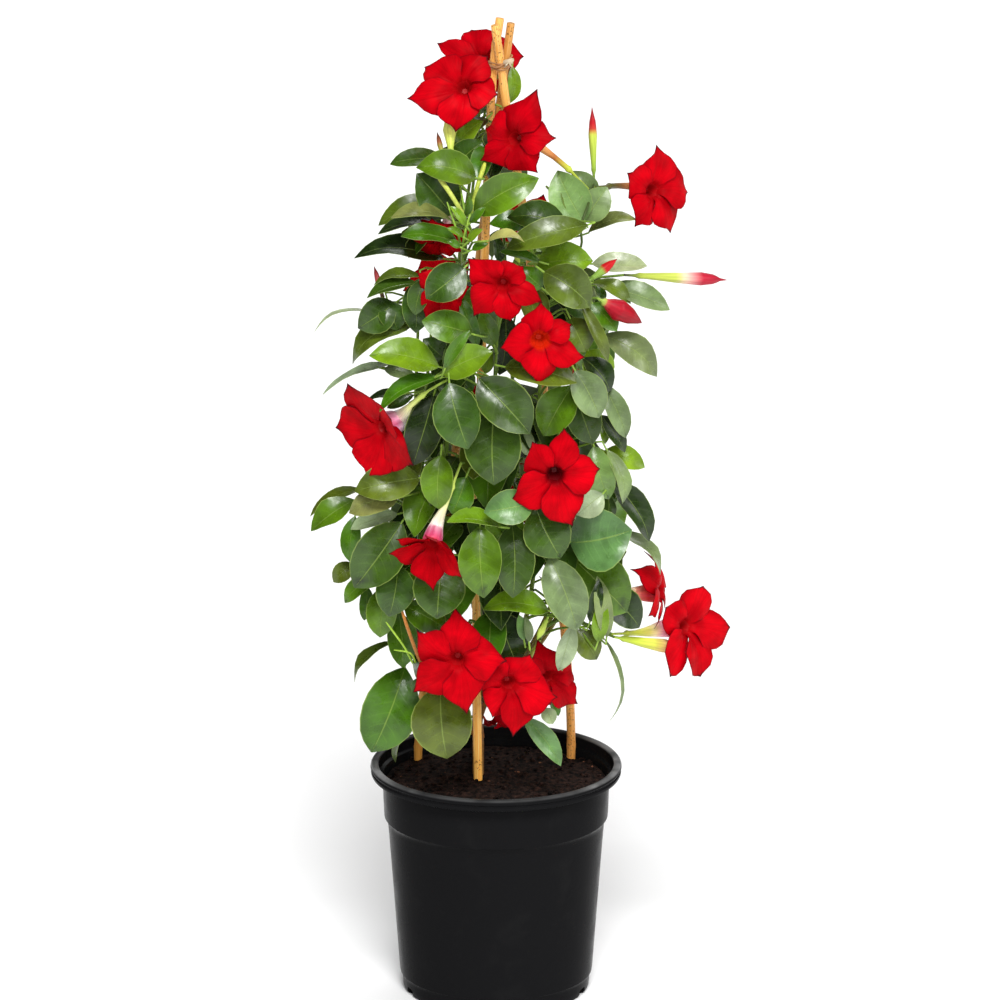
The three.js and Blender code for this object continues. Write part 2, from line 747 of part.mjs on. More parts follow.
/** The leaves inside the canopy, on a spiral that climbs round the axis. */
function fillerLeaves() {
  const leaves = [];
  for (let i = 0; i < FILLERS; i += 1) {
    const row = THREE.MathUtils.mapLinear(i, 0, FILLERS - 1, 660, 110);
    const angle = i * GOLDEN_ANGLE;
    const out = new THREE.Vector3(Math.cos(angle), Math.sin(angle), 0);
    const height = place(AXIS_COLUMN, row, 0).z;
    const radius = between(CANOPY, row);
    const base = out.clone().multiplyScalar(0.42 * radius);
    base.z = height;
    const length = THREE.MathUtils.clamp(0.45 * radius, 34, 58);
    const tip = base.clone().addScaledVector(out, 0.8 * length);
    tip.z -= 0.6 * length;
    const normal = out.clone().multiplyScalar(0.6);
    normal.z = 0.8;
    leaves.push({ base, tip, normal, width: 0.6 * length });
  }
  return leaves;
}

function allLeaves() {
  const front = LEAVES.map(leafAt);
  const inner = front.filter(({ base, tip }) => {
    const middle = base.clone().lerp(tip, 0.5);
    const [column, row] = gridOf(middle);
    return middle.y < 0 && Math.abs(column - AXIS_COLUMN) * GRID_STEP < BACK_SHARE * between(CANOPY, row);
  });
  const back = inner.map((leaf) => turned(leaf, Math.PI, BACK_DROP));
  return [...front, ...[...back, ...fillerLeaves()].filter(isLeafHidden)];
}

/** The point on a leaf's midrib at a share of its length. */
function midrib({ base, tip, normal }, share) {
  const rise = 4 * LEAF_ARCH * share * (1 - share) * base.distanceTo(tip);
  return base.clone().lerp(tip, share).addScaledVector(normal, rise);
}

/** The blade of a leaf: four-sided, with thin edges, and pointed at both ends. */
function bladeSolid(leaf, grow = 0) {
  const geometry = new THREE.SphereGeometry(1, 4, BLADE_RINGS.length + 1);
  const along = leaf.tip.clone().sub(leaf.base).normalize();
  const side = new THREE.Vector3().crossVectors(leaf.normal, along).normalize();
  const spots = geometry.attributes.position;
  for (let i = 0; i < spots.count; i += 1) {
    const level = Math.floor(i / 5) - 1;
    const [across, lift] = [[-1, 0], [0, 1], [1, 0], [0, -1], [-1, 0]][i % 5];
    let spot = leaf.base.clone().addScaledVector(along, -grow);
    if (level === BLADE_RINGS.length) {
      spot = leaf.tip.clone().addScaledVector(along, grow);
    } else if (level >= 0) {
      const { share, widest } = BLADE_RINGS[level];
      const reach = 0.5 * widest * leaf.width + EDGE_MARGIN * grow;
      const rise = lift * (BLADE_THICKNESS / 2 + grow) + Math.abs(across) * reach * LEAF_FOLD;
      spot = midrib(leaf, share).addScaledVector(side, across * reach).addScaledVector(leaf.normal, rise);
    }
    spots.setXYZ(i, spot.x, spot.y, spot.z);
  }
  return solidOf(geometry);
}

/** The stalk of a leaf, from the middle of its vine into the foot of its blade. */
function stalkSolid(leaf, root, grow = 0) {
  const end = midrib(leaf, STALK_REACH);
  end.addScaledVector(end.clone().sub(root).normalize(), grow);
  return rod(new THREE.LineCurve3(root, end), STALK_RADIUS + 1.5 * grow, 4, 1);
}

// ---- Vines ----

function vineCurve({ azimuth, top }, order) {
  const column = order % 2 ? 1 : -1;
  const foot = new THREE.Vector3(CROWN.x + column * CROWN.across, 0, STEM_ROOT);
  foot.y = CROWN.y + CROWN.behind * Math.floor(order / 2);
  const points = [foot, foot.clone().setZ((STEM_ROOT + CROWN_TOP) / 2), foot.clone().setZ(CROWN_TOP)];
  const heights = [CROWN_TOP + 60, CROWN_TOP + 130, (CROWN_TOP + 130 + top) / 2, top];
  heights.forEach((height, step) => {
    const [, row] = gridOf(new THREE.Vector3(0, 0, height));
    const share = step === 0 ? 0.55 : 1;
    const radius = VINE_SHARE * between(CANOPY, row) * share;
    const angle = THREE.MathUtils.degToRad(azimuth + VINE_TWIST * (step / 3));
    points.push(new THREE.Vector3(radius * Math.cos(angle), radius * Math.sin(angle), height));
  });
  return new THREE.CatmullRomCurve3(points, false, "centripetal");
}

const vineCurves = VINES.map((vine, order) => vineCurve(vine, [0, 1, 3, 5, 7, 9, 8, 6, 4, 2][order]));
const vineSpots = vineCurves.map((curve) => curve.getSpacedPoints(VINE_POINTS));

/** The vine, and the point on it, that a twig to `end` best grows from. */
function rootOf(end) {
  let best = { cost: Infinity };
  vineSpots.forEach((spots, vine) => {
    spots.forEach((spot) => {
      if (spot.z < CROWN_TOP - 10) return;
      const level = Math.hypot(end.x - spot.x, end.y - spot.y);
      const rise = end.z - spot.z;
      const cost = level + Math.abs(rise) + 1.2 * Math.abs(rise - 0.5 * level);
      if (cost < best.cost) best = { cost, vine, spot };
    });
  });
  return best;
}

/** A straight twig from its vine to an end point. */
function twigSolid(from, end, grow = 0) {
  return rod(new THREE.LineCurve3(from, end), TWIG_RADIUS + grow, 4, 1);
}

// ---- Flowers and buds ----

/** The direction that an azimuth to the right of the front and an elevation give. */
function facing([azimuth, elevation]) {
  const a = THREE.MathUtils.degToRad(azimuth);
  const e = THREE.MathUtils.degToRad(elevation);
  return new THREE.Vector3(Math.sin(a) * Math.cos(e), -Math.cos(a) * Math.cos(e), Math.sin(e));
}

/** The curve from a flower's mouth back through its tube to the end of its stalk. */
function flowerCurve({ throat, layer, face, stalk }) {
  const mouth = place(...throat, depthOf(...throat, layer));
  const back = facing(face).negate();
  const [column, row, stalkLayer] = stalk;
  const end = place(column, row, depthOf(column, row, stalkLayer));
  const points = [0, 0.5, 1, 1.7].map((share) => mouth.clone().addScaledVector(back, share * THROAT_DEPTH));
  return new THREE.CatmullRomCurve3([...points, end], false, "centripetal");
}

/** Where a flower's petals end: five [radius, angle] pairs about its mouth, in order of angle. */
function petalTips(flower, curve) {
  if (flower.radius) {
    const spin = THREE.MathUtils.degToRad(flower.spin);
    return Array.from({ length: PETALS }, (_, i) => [flower.radius, spin + (2 * Math.PI * i) / PETALS]);
  }
  const frames = curve.computeFrenetFrames(32);
  const back = frames.tangents[0];
  const mouth = curve.getPointAt(0);
  const plane = mouth.clone().addScaledVector(back, PETAL_REFLEX);
  return flower.tips
    .map(([column, row]) => {
      const reach = placeOnPlane(column, row, plane, back).sub(mouth);
      const x = reach.dot(frames.normals[0]);
      const y = reach.dot(frames.binormals[0]);
      return [Math.hypot(x, y), (Math.atan2(y, x) + 2 * Math.PI) % (2 * Math.PI)];
    })
    .sort((a, b) => a[1] - b[1]);
}

/** A trumpet with an open throat and five petals, its tube narrowing to a bent stalk. */
function flowerSolid(flower, grow = 0) {
  const curve = flowerCurve(flower);
  const tips = petalTips(flower, curve);
  const length = curve.getLength();
  const edge = 1; // radius that stands for the petals' outline
  const profile = [
    [0, THROAT_DEPTH - 4 - grow],
    [THROAT_RADIUS - 1.2, 2 - grow],
    [edge, PETAL_REFLEX - grow],
    [edge, PETAL_REFLEX + PETAL_THICKNESS + grow],
    [THROAT_RADIUS + grow, 6 + grow],
    [TUBE_RADIUS + grow, THROAT_DEPTH + 2],
    [PEDICEL_RADIUS + grow, 0.75 * length],
    [PEDICEL_RADIUS + grow, length - GAP + grow],
    [0, length - GAP + grow],
  ];
  const outline = (radius, angle, column) => {
    const petal = Math.floor(column / 2);
    const isTip = column % 2 === 0;
    const [tipRadius, tipAngle] = tips[petal];
    const [nextRadius, nextAngle] = tips[(petal + 1) % PETALS];
    const turn = (nextAngle - tipAngle + 2 * Math.PI) % (2 * Math.PI);
    const reach = (isTip ? tipRadius : NOTCH_SHARE * 0.5 * (tipRadius + nextRadius)) + grow;
    return [radius === edge ? reach : radius, isTip ? tipAngle : tipAngle + 0.5 * turn];
  };
  return bentLathe(profile, 2 * PETALS, curve, outline);
}

function budCurve({ base, tip, layers }) {
  const from = place(...base, depthOf(...base, layers[0]));
  const to = place(...tip, depthOf(...tip, layers[1]));
  return new THREE.LineCurve3(from, to);
}

function budSolid(bud, grow = 0) {
  const curve = budCurve(bud);
  const length = curve.getLength();
  const profile = [
    [0, GAP - grow],
    [PEDICEL_RADIUS + grow, GAP - grow],
    [0.35 * bud.radius + 0.7 + grow, 0.2 * length],
    [bud.radius + grow, bud.fattest * length],
    [0.75 * bud.radius + grow, (0.4 * bud.fattest + 0.6) * length],
    [0, length + grow],
  ];
  return bentLathe(profile, 6, curve);
}

// ---- Assembly ----

const finishes = {
  pot: new THREE.MeshStandardMaterial({ color: 0x1c1c1c, roughness: 0.4, metalness: 0 }),
  soil: new THREE.MeshStandardMaterial({ color: 0x1a1412, roughness: 1, metalness: 0 }),
  bamboo: new THREE.MeshStandardMaterial({ color: 0xd9a45a, roughness: 0.6, metalness: 0 }),
  raffia: new THREE.MeshStandardMaterial({ color: 0xe6d3a8, roughness: 0.8, metalness: 0 }),
  foliage: new THREE.MeshStandardMaterial({ color: 0x4a7a22, roughness: 0.35, metalness: 0 }),
  petal: new THREE.MeshStandardMaterial({ color: 0xd8000c, roughness: 0.5, metalness: 0 }),
};

const holder = new THREE.Group();
const support = new THREE.Group();
const growth = new THREE.Group();
const twoDigits = (order) => String(order + 1).padStart(2, "0");

holder.add(meshOf("pot", potSolid(), finishes.pot));

// Everything that the shoots must stay clear of, grown by the gap.
const fixed = [];
for (const name of Object.keys(CANES)) {
  support.add(meshOf(name, caneSolid(name), finishes.bamboo));
  fixed.push(caneSolid(name, GAP));
}
support.add(meshOf("cane_tie", clearOf(tieSolid(), fixed), finishes.raffia));
const tieBlock = new THREE.CylinderGeometry(15, 15, TIE_WIDTH + 3, 12).rotateX(Math.PI / 2);
tieBlock.translate(4, 1, TIE_HEIGHT);
fixed.push(solidOf(tieBlock));

const halfTurn = new THREE.Matrix4().makeRotationZ(Math.PI);
const backFlowerSolid = (flower, grow) => flowerSolid(flower, grow).transform(halfTurn.elements);
const blooms = [
  ...FLOWERS.map((flower) => (grow) => flowerSolid(flower, grow)),
  ...BACK_FLOWERS.map((flower) => (grow) => backFlowerSolid(flower, grow)),
];
blooms.forEach((bloom, order) => {
  growth.add(meshOf("flower_" + twoDigits(order), clearOf(bloom(0), fixed), finishes.petal));
  fixed.push(bloom(GAP));
});
BUDS.forEach((bud, order) => {
  growth.add(meshOf("bud_" + twoDigits(order), clearOf(budSolid(bud), fixed), finishes.petal));
  fixed.push(budSolid(bud, GAP));
});

// What each vine carries: its leaves, and twigs to the stalks of the flowers and buds.
const stalkEnds = [
  ...FLOWERS.map((flower) => flowerCurve(flower).getPointAt(1)),
  ...BACK_FLOWERS.map((flower) => flowerCurve(flower).getPointAt(1).applyMatrix4(halfTurn)),
  ...BUDS.map((bud) => budCurve(bud).getPointAt(0)),
];
const twigs = stalkEnds.map((end) => {
  const { vine, spot } = rootOf(end);
  return { vine, grow: (grow) => twigSolid(spot, end.clone().lerp(spot, -0.01), grow) };
});
const leaves = allLeaves().map((leaf) => {
  const { vine, spot } = rootOf(leaf.base);
  const stalk = (grow) => stalkSolid(leaf, spot, grow);
  return { vine, blade: (grow) => bladeSolid(leaf, grow), stalk };
});

// Stems and twigs first, then the leaves, each clear of all that came before.
const stemBlocks = [];
const stems = vineCurves.map((curve, vine) => {
  const parts = (grow) => [
    rod(curve, STEM_RADIUS + grow, STEM_SIDES, STEM_STEPS),
    ...twigs.filter((twig) => twig.vine === vine).map((twig) => twig.grow(grow)),
  ];
  const stem = clearOf(joined(parts(0)), [...fixed, ...stemBlocks]);
  stemBlocks.push(joined(parts(GAP)));
  return stem;
});

// The blades give way to the stalks of the other vines, so that each leaf stays on its own stalk.
const leavesOf = (vine) => leaves.filter((leaf) => leaf.vine === vine);
const stalksOf = (vine, grow) => joined(leavesOf(vine).map((leaf) => leaf.stalk(grow)));
const others = (list, vine) => list.filter((_, other) => other !== vine);
const stalkBlocks = stems.map((_, vine) => stalksOf(vine, LEAF_GAP));
const potBlock = potSolid();
const bladeBlocks = [];
stems.forEach((stem, vine) => {
  const own = leavesOf(vine);
  const block = joined([...fixed, ...others(stemBlocks, vine), potBlock]);
  const stalks = stalksOf(vine, 0).subtract(joined([block, ...stalkBlocks.slice(0, vine)]));
  const crossed = joined([block, ...others(stalkBlocks, vine), ...bladeBlocks]);
  const blades = joined(own.map((leaf) => leaf.blade(0))).subtract(crossed);
  growth.add(meshOf("vine_" + twoDigits(vine), smoothed(stem.add(stalks).add(blades)), finishes.foliage));
  bladeBlocks.push(joined(own.map((leaf) => leaf.blade(LEAF_GAP))));
});

const sockets = [...Object.keys(CANES).map((name) => caneSolid(name, GAP)), ...stemBlocks];
holder.add(meshOf("potting_soil", clearOf(soilSolid(), sockets), finishes.soil));

const plant = new THREE.Group();
plant.add(holder, support, growth);

export default plant;
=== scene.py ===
"""A mandevilla with red trumpet flowers, grown up three bamboo canes in its black nursery pot.

Lengths are millimetres until a mesh is made, and metres there. +Z is up, the origin is the middle of the
pot's underside, and the front of the plant faces -Y.
"""

import logging
import math
import random
from dataclasses import dataclass, field
from enum import Enum

import bpy
import numpy as np
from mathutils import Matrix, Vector, noise
from mathutils.bvhtree import BVHTree


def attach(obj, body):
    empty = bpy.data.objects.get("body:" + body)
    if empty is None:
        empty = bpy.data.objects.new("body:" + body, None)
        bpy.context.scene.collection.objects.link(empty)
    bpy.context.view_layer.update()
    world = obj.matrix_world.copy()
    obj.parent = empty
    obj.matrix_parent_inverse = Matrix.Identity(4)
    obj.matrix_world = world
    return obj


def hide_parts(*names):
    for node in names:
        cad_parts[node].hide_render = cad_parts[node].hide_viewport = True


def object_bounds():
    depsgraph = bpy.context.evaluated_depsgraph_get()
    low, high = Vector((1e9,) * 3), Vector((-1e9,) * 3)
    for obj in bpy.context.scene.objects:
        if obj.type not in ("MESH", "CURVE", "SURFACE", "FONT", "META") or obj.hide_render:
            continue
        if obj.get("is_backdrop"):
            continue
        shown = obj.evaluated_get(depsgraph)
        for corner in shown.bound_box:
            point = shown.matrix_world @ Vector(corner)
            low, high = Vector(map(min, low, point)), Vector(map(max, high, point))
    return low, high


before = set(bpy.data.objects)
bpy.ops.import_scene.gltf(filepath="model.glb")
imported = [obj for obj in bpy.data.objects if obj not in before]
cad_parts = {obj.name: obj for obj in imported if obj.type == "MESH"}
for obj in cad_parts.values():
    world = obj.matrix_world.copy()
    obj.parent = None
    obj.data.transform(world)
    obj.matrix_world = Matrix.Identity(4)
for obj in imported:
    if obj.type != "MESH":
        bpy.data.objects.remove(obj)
cad_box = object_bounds()
log = logging.getLogger("mandevilla")

MM = 0.001  # one millimetre in Blender's metres
BODY = "root"

# ---- Vectors and the front grid ----


def vector(*numbers: float) -> np.ndarray:
    """Return a point or a direction."""
    return np.array(numbers, float)


def unit(way: np.ndarray) -> np.ndarray:
    """Return a direction with a length of one."""
    return way / np.linalg.norm(way)


def between(table: list[tuple[float, float]], at: float) -> float:
    """Read a value from a table of (place, value) pairs, with straight lines between them."""
    return float(np.interp(at, [place for place, _ in table], [value for _, value in table]))


def smooth(x: np.ndarray, low: float, high: float) -> np.ndarray:
    """Return 0 below low, 1 above high and a soft step between them."""
    t = np.clip((x - low) / (high - low), 0, 1)
    return t * t * (3 - 2 * t)


@dataclass(frozen=True)
class FrontGrid:
    """The grid that the plant is laid out on, seen from the front and a little from above.

    One column or row is 0.88 mm at the plant's axis. Columns count to the right and rows down, and a
    depth is millimetres behind the axis.
    """

    distance: float = 6000
    tilt: float = math.radians(16)
    aim: tuple[float, float, float] = (3.5, 0, 451.8)
    middle: float = 500
    focus: float = 6818
    axis_column: float = 496
    step: float = 0.88

    @property
    def to_viewer(self) -> np.ndarray:
        """The direction from the plant to the viewer."""
        return vector(0, -math.cos(self.tilt), math.sin(self.tilt))

    @property
    def up(self) -> np.ndarray:
        """The direction in which rows count backwards."""
        return vector(0, math.sin(self.tilt), math.cos(self.tilt))

    @property
    def eye(self) -> np.ndarray:
        """Where the viewer stands."""
        return vector(*self.aim) + self.distance * self.to_viewer

    def sight(self, column: float, row: float) -> np.ndarray:
        """Return the line of sight through a grid point."""
        ray = -self.focus * self.to_viewer + (self.middle - row) * self.up
        return ray + vector(column - self.middle, 0, 0)

    def place(self, column: float, row: float, depth: float) -> np.ndarray:
        """Return the point that shows at a grid point and lies `depth` behind the axis."""
        ray = self.sight(column, row)
        return self.eye + ray * ((depth - self.eye[1]) / ray[1])

    def on_plane(self, column: float, row: float, point: np.ndarray, normal: np.ndarray) -> np.ndarray:
        """Return the point where the line of sight through a grid point meets a plane."""
        ray = self.sight(column, row)
        return self.eye + ray * (np.dot(point - self.eye, normal) / np.dot(ray, normal))

    def grid_of(self, point: np.ndarray) -> tuple[float, float]:
        """Return the column and row at which a point shows."""
        seen = point - self.eye
        scale = self.focus / -np.dot(seen, self.to_viewer)
        return self.middle + seen[0] * scale, self.middle - np.dot(seen, self.up) * scale

    def depth(self, column: float, row: float, layer: float) -> float:
        """Return how far behind the axis a layer lies: 1 is the canopy's front, 0 the axis, -1 its back."""
        across = (column - self.axis_column) * self.step
        bulge = math.sqrt(max(0.0, between(CANOPY, row) ** 2 - across**2))
        return -layer * (0.9 * bulge + 15)

    def layered(self, column: float, row: float, layer: float) -> np.ndarray:
        """Return the point of a layer that shows at a grid point."""
        return self.place(column, row, self.depth(column, row, layer))


GRID = FrontGrid()

# The canopy's outline: (row, radius).
CANOPY = [(20, 25), (110, 45), (160, 80), (250, 125), (340, 148), (520, 152), (620, 135), (680, 110), (760, 85)]

# Where the foliage's outline runs from the front: (row, left column), and the same on the right.
LEFT_EDGE = [(60, 460), (140, 450), (200, 420), (260, 395), (300, 425), (350, 430), (400, 410), (480, 365),
             (570, 358), (620, 395), (700, 420)]
RIGHT_EDGE = [(60, 520), (130, 545), (160, 530), (180, 598), (300, 600), (400, 618), (440, 598), (500, 622),
              (600, 622), (625, 520), (700, 515)]
# Windows in the foliage that show what is behind it: left column, top row, right column, bottom row.
WINDOWS = [(453, 186, 477, 208), (495, 198, 532, 214), (564, 232, 582, 250), (440, 254, 460, 262),
           (418, 322, 434, 346), (392, 360, 404, 386), (498, 350, 516, 372), (570, 382, 594, 400),
           (596, 426, 616, 450), (528, 614, 558, 664), (374, 504, 394, 532), (533, 166, 550, 206),
           (384, 264, 420, 271), (622, 512, 634, 524)]
# The same for what lies at the axis, such as a cane.
FRONT_WINDOWS = [(479, 212, 492, 256), (523, 240, 534, 256)]
LOWEST_FILLER_ROW = 700

# Leaves: base column and row, tip column and row, width, turn in degrees, layer, lean and tone. A turn of 0
# faces the viewer and 90 is edge-on. The lean is how much nearer the viewer the tip is than the base.
LEAVES = [
    # crown
    (512, 66, 510, 104, 13, 20, -0.4, 4, "F"), (490, 66, 488, 86, 10, 20, -0.4, 3, "M"),
    (455, 150, 483, 121, 22, 20, 0.35, 5, "F"), (453, 168, 483, 141, 26, 15, 0.45, 5, "D"),
    (446, 158, 390, 162, 22, 45, 0.5, 5, "D"), (476, 178, 418, 166, 31, 15, 0.95, 10, "B"),
    (452, 214, 418, 174, 42, 10, 0.75, 8, "D"), (432, 196, 377, 223, 22, 30, 0.5, 5, "O"),
    (453, 222, 391, 217, 22, 60, 0.95, 5, "Y"), (446, 225, 378, 233, 22, 62, 0.8, 5, "K"),
    (458, 243, 402, 233, 24, 48, 0.9, 6, "M"), (444, 259, 356, 250, 30, 45, 0.6, 8, "K"),
    (474, 213, 537, 178, 32, 5, 0.9, 8, "B"), (567, 225, 508, 216, 28, 15, 0.55, 5, "D"),
    (532, 229, 490, 222, 20, 30, 0.4, 5, "M"), (584, 222, 558, 171, 36, 0, 0.55, -5, "L"),
    (584, 222, 607, 187, 27, 0, 0.7, -3, "P"), (594, 200, 574, 171, 22, 10, 0.35, 0, "P"),
    (588, 225, 506, 247, 28, 25, 0.95, 10, "O"), (588, 233, 635, 217, 17, 48, 0.35, 5, "Y"),
    (488, 241, 524, 239, 18, 62, 1, 4, "T"), (537, 264, 592, 260, 33, 10, 0.75, 8, "F"),
    (592, 264, 647, 266, 22, 35, 0.6, 0, "S"), (544, 272, 591, 306, 36, 5, 1, 12, "O"),
    (605, 287, 670, 309, 24, 35, 0.8, 5, "P"), (592, 283, 632, 301, 16, 35, 0.7, 5, "O"),
    (540, 262, 500, 251, 10, 30, 0.8, 3, "M"), (542, 288, 521, 268, 20, 10, 0.8, 4, "M"),
    # left flank
    (465, 267, 426, 298, 33, 5, 1.12, 10, "D"), (422, 277, 374, 280, 18, 60, 0.8, 6, "O"),
    (418, 284, 367, 298, 24, 58, 0.9, 6, "D"), (420, 278, 416, 333, 27, 5, 0.75, 12, "D"),
    (425, 279, 415, 315, 19, 5, 0.9, 8, "D"), (395, 303, 358, 328, 30, 0, 0.9, 8, "D"),
    (388, 302, 398, 330, 24, 5, 0.8, 8, "D"), (374, 313, 313, 326, 10, 75, 0.3, 2, "S"),
    (414, 323, 349, 359, 28, 38, 0.75, 4, "O"), (439, 367, 371, 353, 31, 28, 1, 12, "F"),
    (444, 358, 424, 339, 22, 10, 0.7, 3, "D"), (392, 364, 322, 393, 17, 66, 0.5, 4, "S"),
    (445, 368, 470, 330, 11, 10, 1, 0, "M"), (444, 367, 450, 341, 9, 10, 0.95, 0, "D"),
    (443, 374, 492, 352, 28, 10, 1, 10, "F"), (472, 334, 422, 321, 29, 10, 0.95, 8, "B"),
    (478, 346, 461, 296, 14, 10, 0.8, 5, "M"), (494, 345, 480, 311, 18, 10, 0.7, 5, "B"),
    (441, 378, 378, 408, 20, 45, 1, 10, "M"), (403, 394, 366, 400, 12, 50, 0.7, 5, "K"),
    (434, 394, 412, 466, 32, 5, 0.85, 10, "K"), (449, 383, 468, 449, 41, 0, 1.1, 16, "D"),
    (472, 392, 447, 360, 24, 10, 0.6, 0, "M"),
    # middle
    (495, 408, 494, 485, 50, 0, 0.97, 20, "D"), (479, 378, 530, 433, 42, 5, 1.06, 16, "D"),
    (505, 367, 577, 381, 32, 25, 0.97, 12, "O"), (572, 386, 543, 436, 34, 10, 0.85, 8, "B"),
    (576, 394, 593, 444, 30, 5, 0.75, 8, "D"), (570, 318, 586, 352, 30, 0, 0.85, 8, "O"),
    (592, 303, 617, 331, 20, 15, 0.75, 5, "M"), (581, 302, 611, 361, 13, 30, 1, 5, "O"),
    (603, 335, 659, 375, 27, 15, 0.7, 5, "P"), (588, 350, 609, 380, 28, 5, 0.8, 5, "F"),
    (583, 358, 612, 392, 24, 30, 0.85, 5, "K"), (575, 370, 600, 418, 30, 5, 1, 8, "P"),
    (603, 384, 628, 438, 20, 15, 0.9, 6, "P"), (601, 415, 626, 452, 17, 30, 0.8, 4, "K"),
    (601, 424, 606, 444, 8, 20, 0.7, 3, "F"), (604, 451, 645, 467, 21, 20, 0.7, 3, "F"),
    (607, 450, 627, 503, 17, 35, 0.95, 6, "P"), (594, 446, 609, 500, 26, 0, 0.85, 8, "L"),
    (603, 494, 577, 515, 24, 0, 0.9, 8, "S"), (612, 481, 651, 541, 25, 25, 0.7, 5, "K"),
    (570, 542, 632, 530, 56, 0, 0.92, 14, "C"), (622, 533, 665, 570, 22, 60, 0.6, 5, "P"),
    (565, 303, 591, 319, 18, 20, 0.7, 5, "D"),
    # lower left
    (466, 477, 452, 514, 26, 5, 0.9, 6, "M"), (441, 455, 439, 509, 29, -10, 0.98, 10, "B"),
    (534, 503, 484, 512, 31, 5, 1.02, 8, "C"), (500, 527, 447, 521, 24, 56, 1, 6, "F"),
    (480, 526, 484, 598, 38, 0, 1.1, 18, "B"), (512, 523, 513, 598, 35, 5, 0.98, 18, "D"),
    (536, 507, 561, 558, 42, 5, 0.95, 12, "D"), (420, 478, 355, 490, 34, 15, 0.95, 12, "O"),
    (398, 498, 349, 512, 24, 15, 1, 8, "Y"), (361, 489, 310, 516, 16, 50, 0.5, 3, "O"),
    (355, 500, 311, 531, 26, 35, 0.8, 5, "B"), (355, 516, 350, 562, 18, 0, 0.7, 5, "M"),
    (402, 522, 354, 588, 44, 0, 1, 14, "D"), (353, 563, 333, 582, 17, 10, 0.8, 4, "O"),
    (376, 576, 343, 601, 18, 30, 0.9, 5, "B"), (398, 564, 389, 617, 34, 0, 0.92, 12, "D"),
    (442, 564, 437, 618, 46, 0, 0.97, 22, "D"), (367, 586, 364, 621, 13, 0, 0.7, 5, "M"),
    (384, 586, 380, 638, 27, 0, 0.85, 8, "B"), (404, 606, 446, 629, 28, 10, 0.75, 5, "B"),
    (399, 612, 403, 668, 28, 10, 0.55, 10, "M"), (394, 642, 350, 677, 16, 60, 0.5, 3, "O"),
    (405, 667, 371, 753, 50, 0, 0.85, 12, "M"), (441, 684, 447, 759, 54, 0, 0.9, 14, "O"),
    (405, 728, 394, 762, 9, 50, 0.1, 3, "P"), (421, 678, 412, 691, 9, 10, 0.8, 2, "D"),
    # lower right
    (497, 612, 517, 664, 38, 5, 0.7, 10, "K"), (549, 611, 485, 605, 26, 35, 0.9, 10, "F"),
    (524, 640, 519, 615, 11, 10, 0.75, 2, "L"), (529, 642, 526, 617, 8, 10, 0.8, 2, "P"),
    (550, 557, 577, 631, 37, 0, 1.08, 16, "P"), (573, 624, 560, 672, 18, 20, 1.02, 6, "S"),
    (574, 630, 562, 671, 10, 20, 0.95, 6, "P"), (576, 630, 598, 659, 24, 15, 0.85, 6, "O"),
    (590, 622, 600, 579, 13, 10, 0.95, 0, "K"), (607, 637, 599, 577, 17, 20, 1, 0, "P"),
    (598, 642, 603, 598, 15, 10, 1.03, 0, "F"), (572, 558, 628, 612, 50, 5, 0.75, 10, "B"),
    (602, 588, 641, 627, 32, 20, 0.7, 3, "K"), (603, 637, 617, 721, 6, 50, 0.7, 3, "P"),
    (544, 708, 553, 724, 14, 10, 0.6, 3, "S"), (524, 717, 561, 766, 19, 10, 0.8, 5, "C"),
    # small ones between the others
    (398, 514, 350, 527, 17, 30, 0.6, 4, "S"), (384, 369, 415, 377, 14, 20, 0.4, 3, "P"),
    (414, 395, 387, 408, 11, 20, 0.5, 3, "D"), (500, 262, 495, 235, 11, 20, 0.2, 3, "D"),
    (466, 226, 451, 206, 8, 20, 0.95, 3, "F"), (470, 223, 485, 207, 8, 20, 0.9, 3, "M"),
    (463, 237, 447, 228, 7, 20, 0.9, 3, "B"), (468, 242, 482, 229, 8, 30, 0.85, 3, "F"),
    (465, 216, 469, 196, 7, 20, 0.9, 3, "M"), (460, 247, 448, 241, 7, 20, 0.95, 3, "M"),
    (472, 250, 488, 243, 8, 25, 0.9, 3, "M"), (437, 340, 425, 366, 13, 10, 0.4, 3, "D"),
    (505, 312, 500, 376, 24, 10, 0.25, 4, "K"), (495, 348, 485, 374, 13, 10, 0.2, 3, "F"),
    (596, 286, 606, 299, 8, 20, 0.5, 2, "M"), (522, 428, 528, 456, 14, 10, 0.5, 4, "S"),
    (552, 698, 559, 716, 9, 15, 0.5, 3, "M"),
    (606, 494, 614, 518, 10, 15, 0.5, 3, "D"),
    # dark ones deep inside
    (447, 376, 418, 404, 26, 10, -0.1, 4, "F"), (526, 244, 560, 260, 15, 10, 0, 4, "F"),
    (550, 300, 576, 330, 24, 10, 0.1, 4, "K"), (574, 336, 594, 372, 22, 10, 0.1, 4, "K"),
    (508, 428, 526, 458, 18, 10, 0.1, 4, "K"),
]


# ---- Colour and materials ----


def linear(code: int) -> tuple[float, float, float]:
    """Turn an sRGB hex value to linear light.

    Args:
        code: the colour, such as 0xD8000C.

    Returns:
        Red, green and blue from 0 to 1.
    """
    parts = [(code >> shift & 255) / 255 for shift in (16, 8, 0)]
    return tuple(p / 12.92 if p <= 0.04045 else ((p + 0.055) / 1.055) ** 2.4 for p in parts)


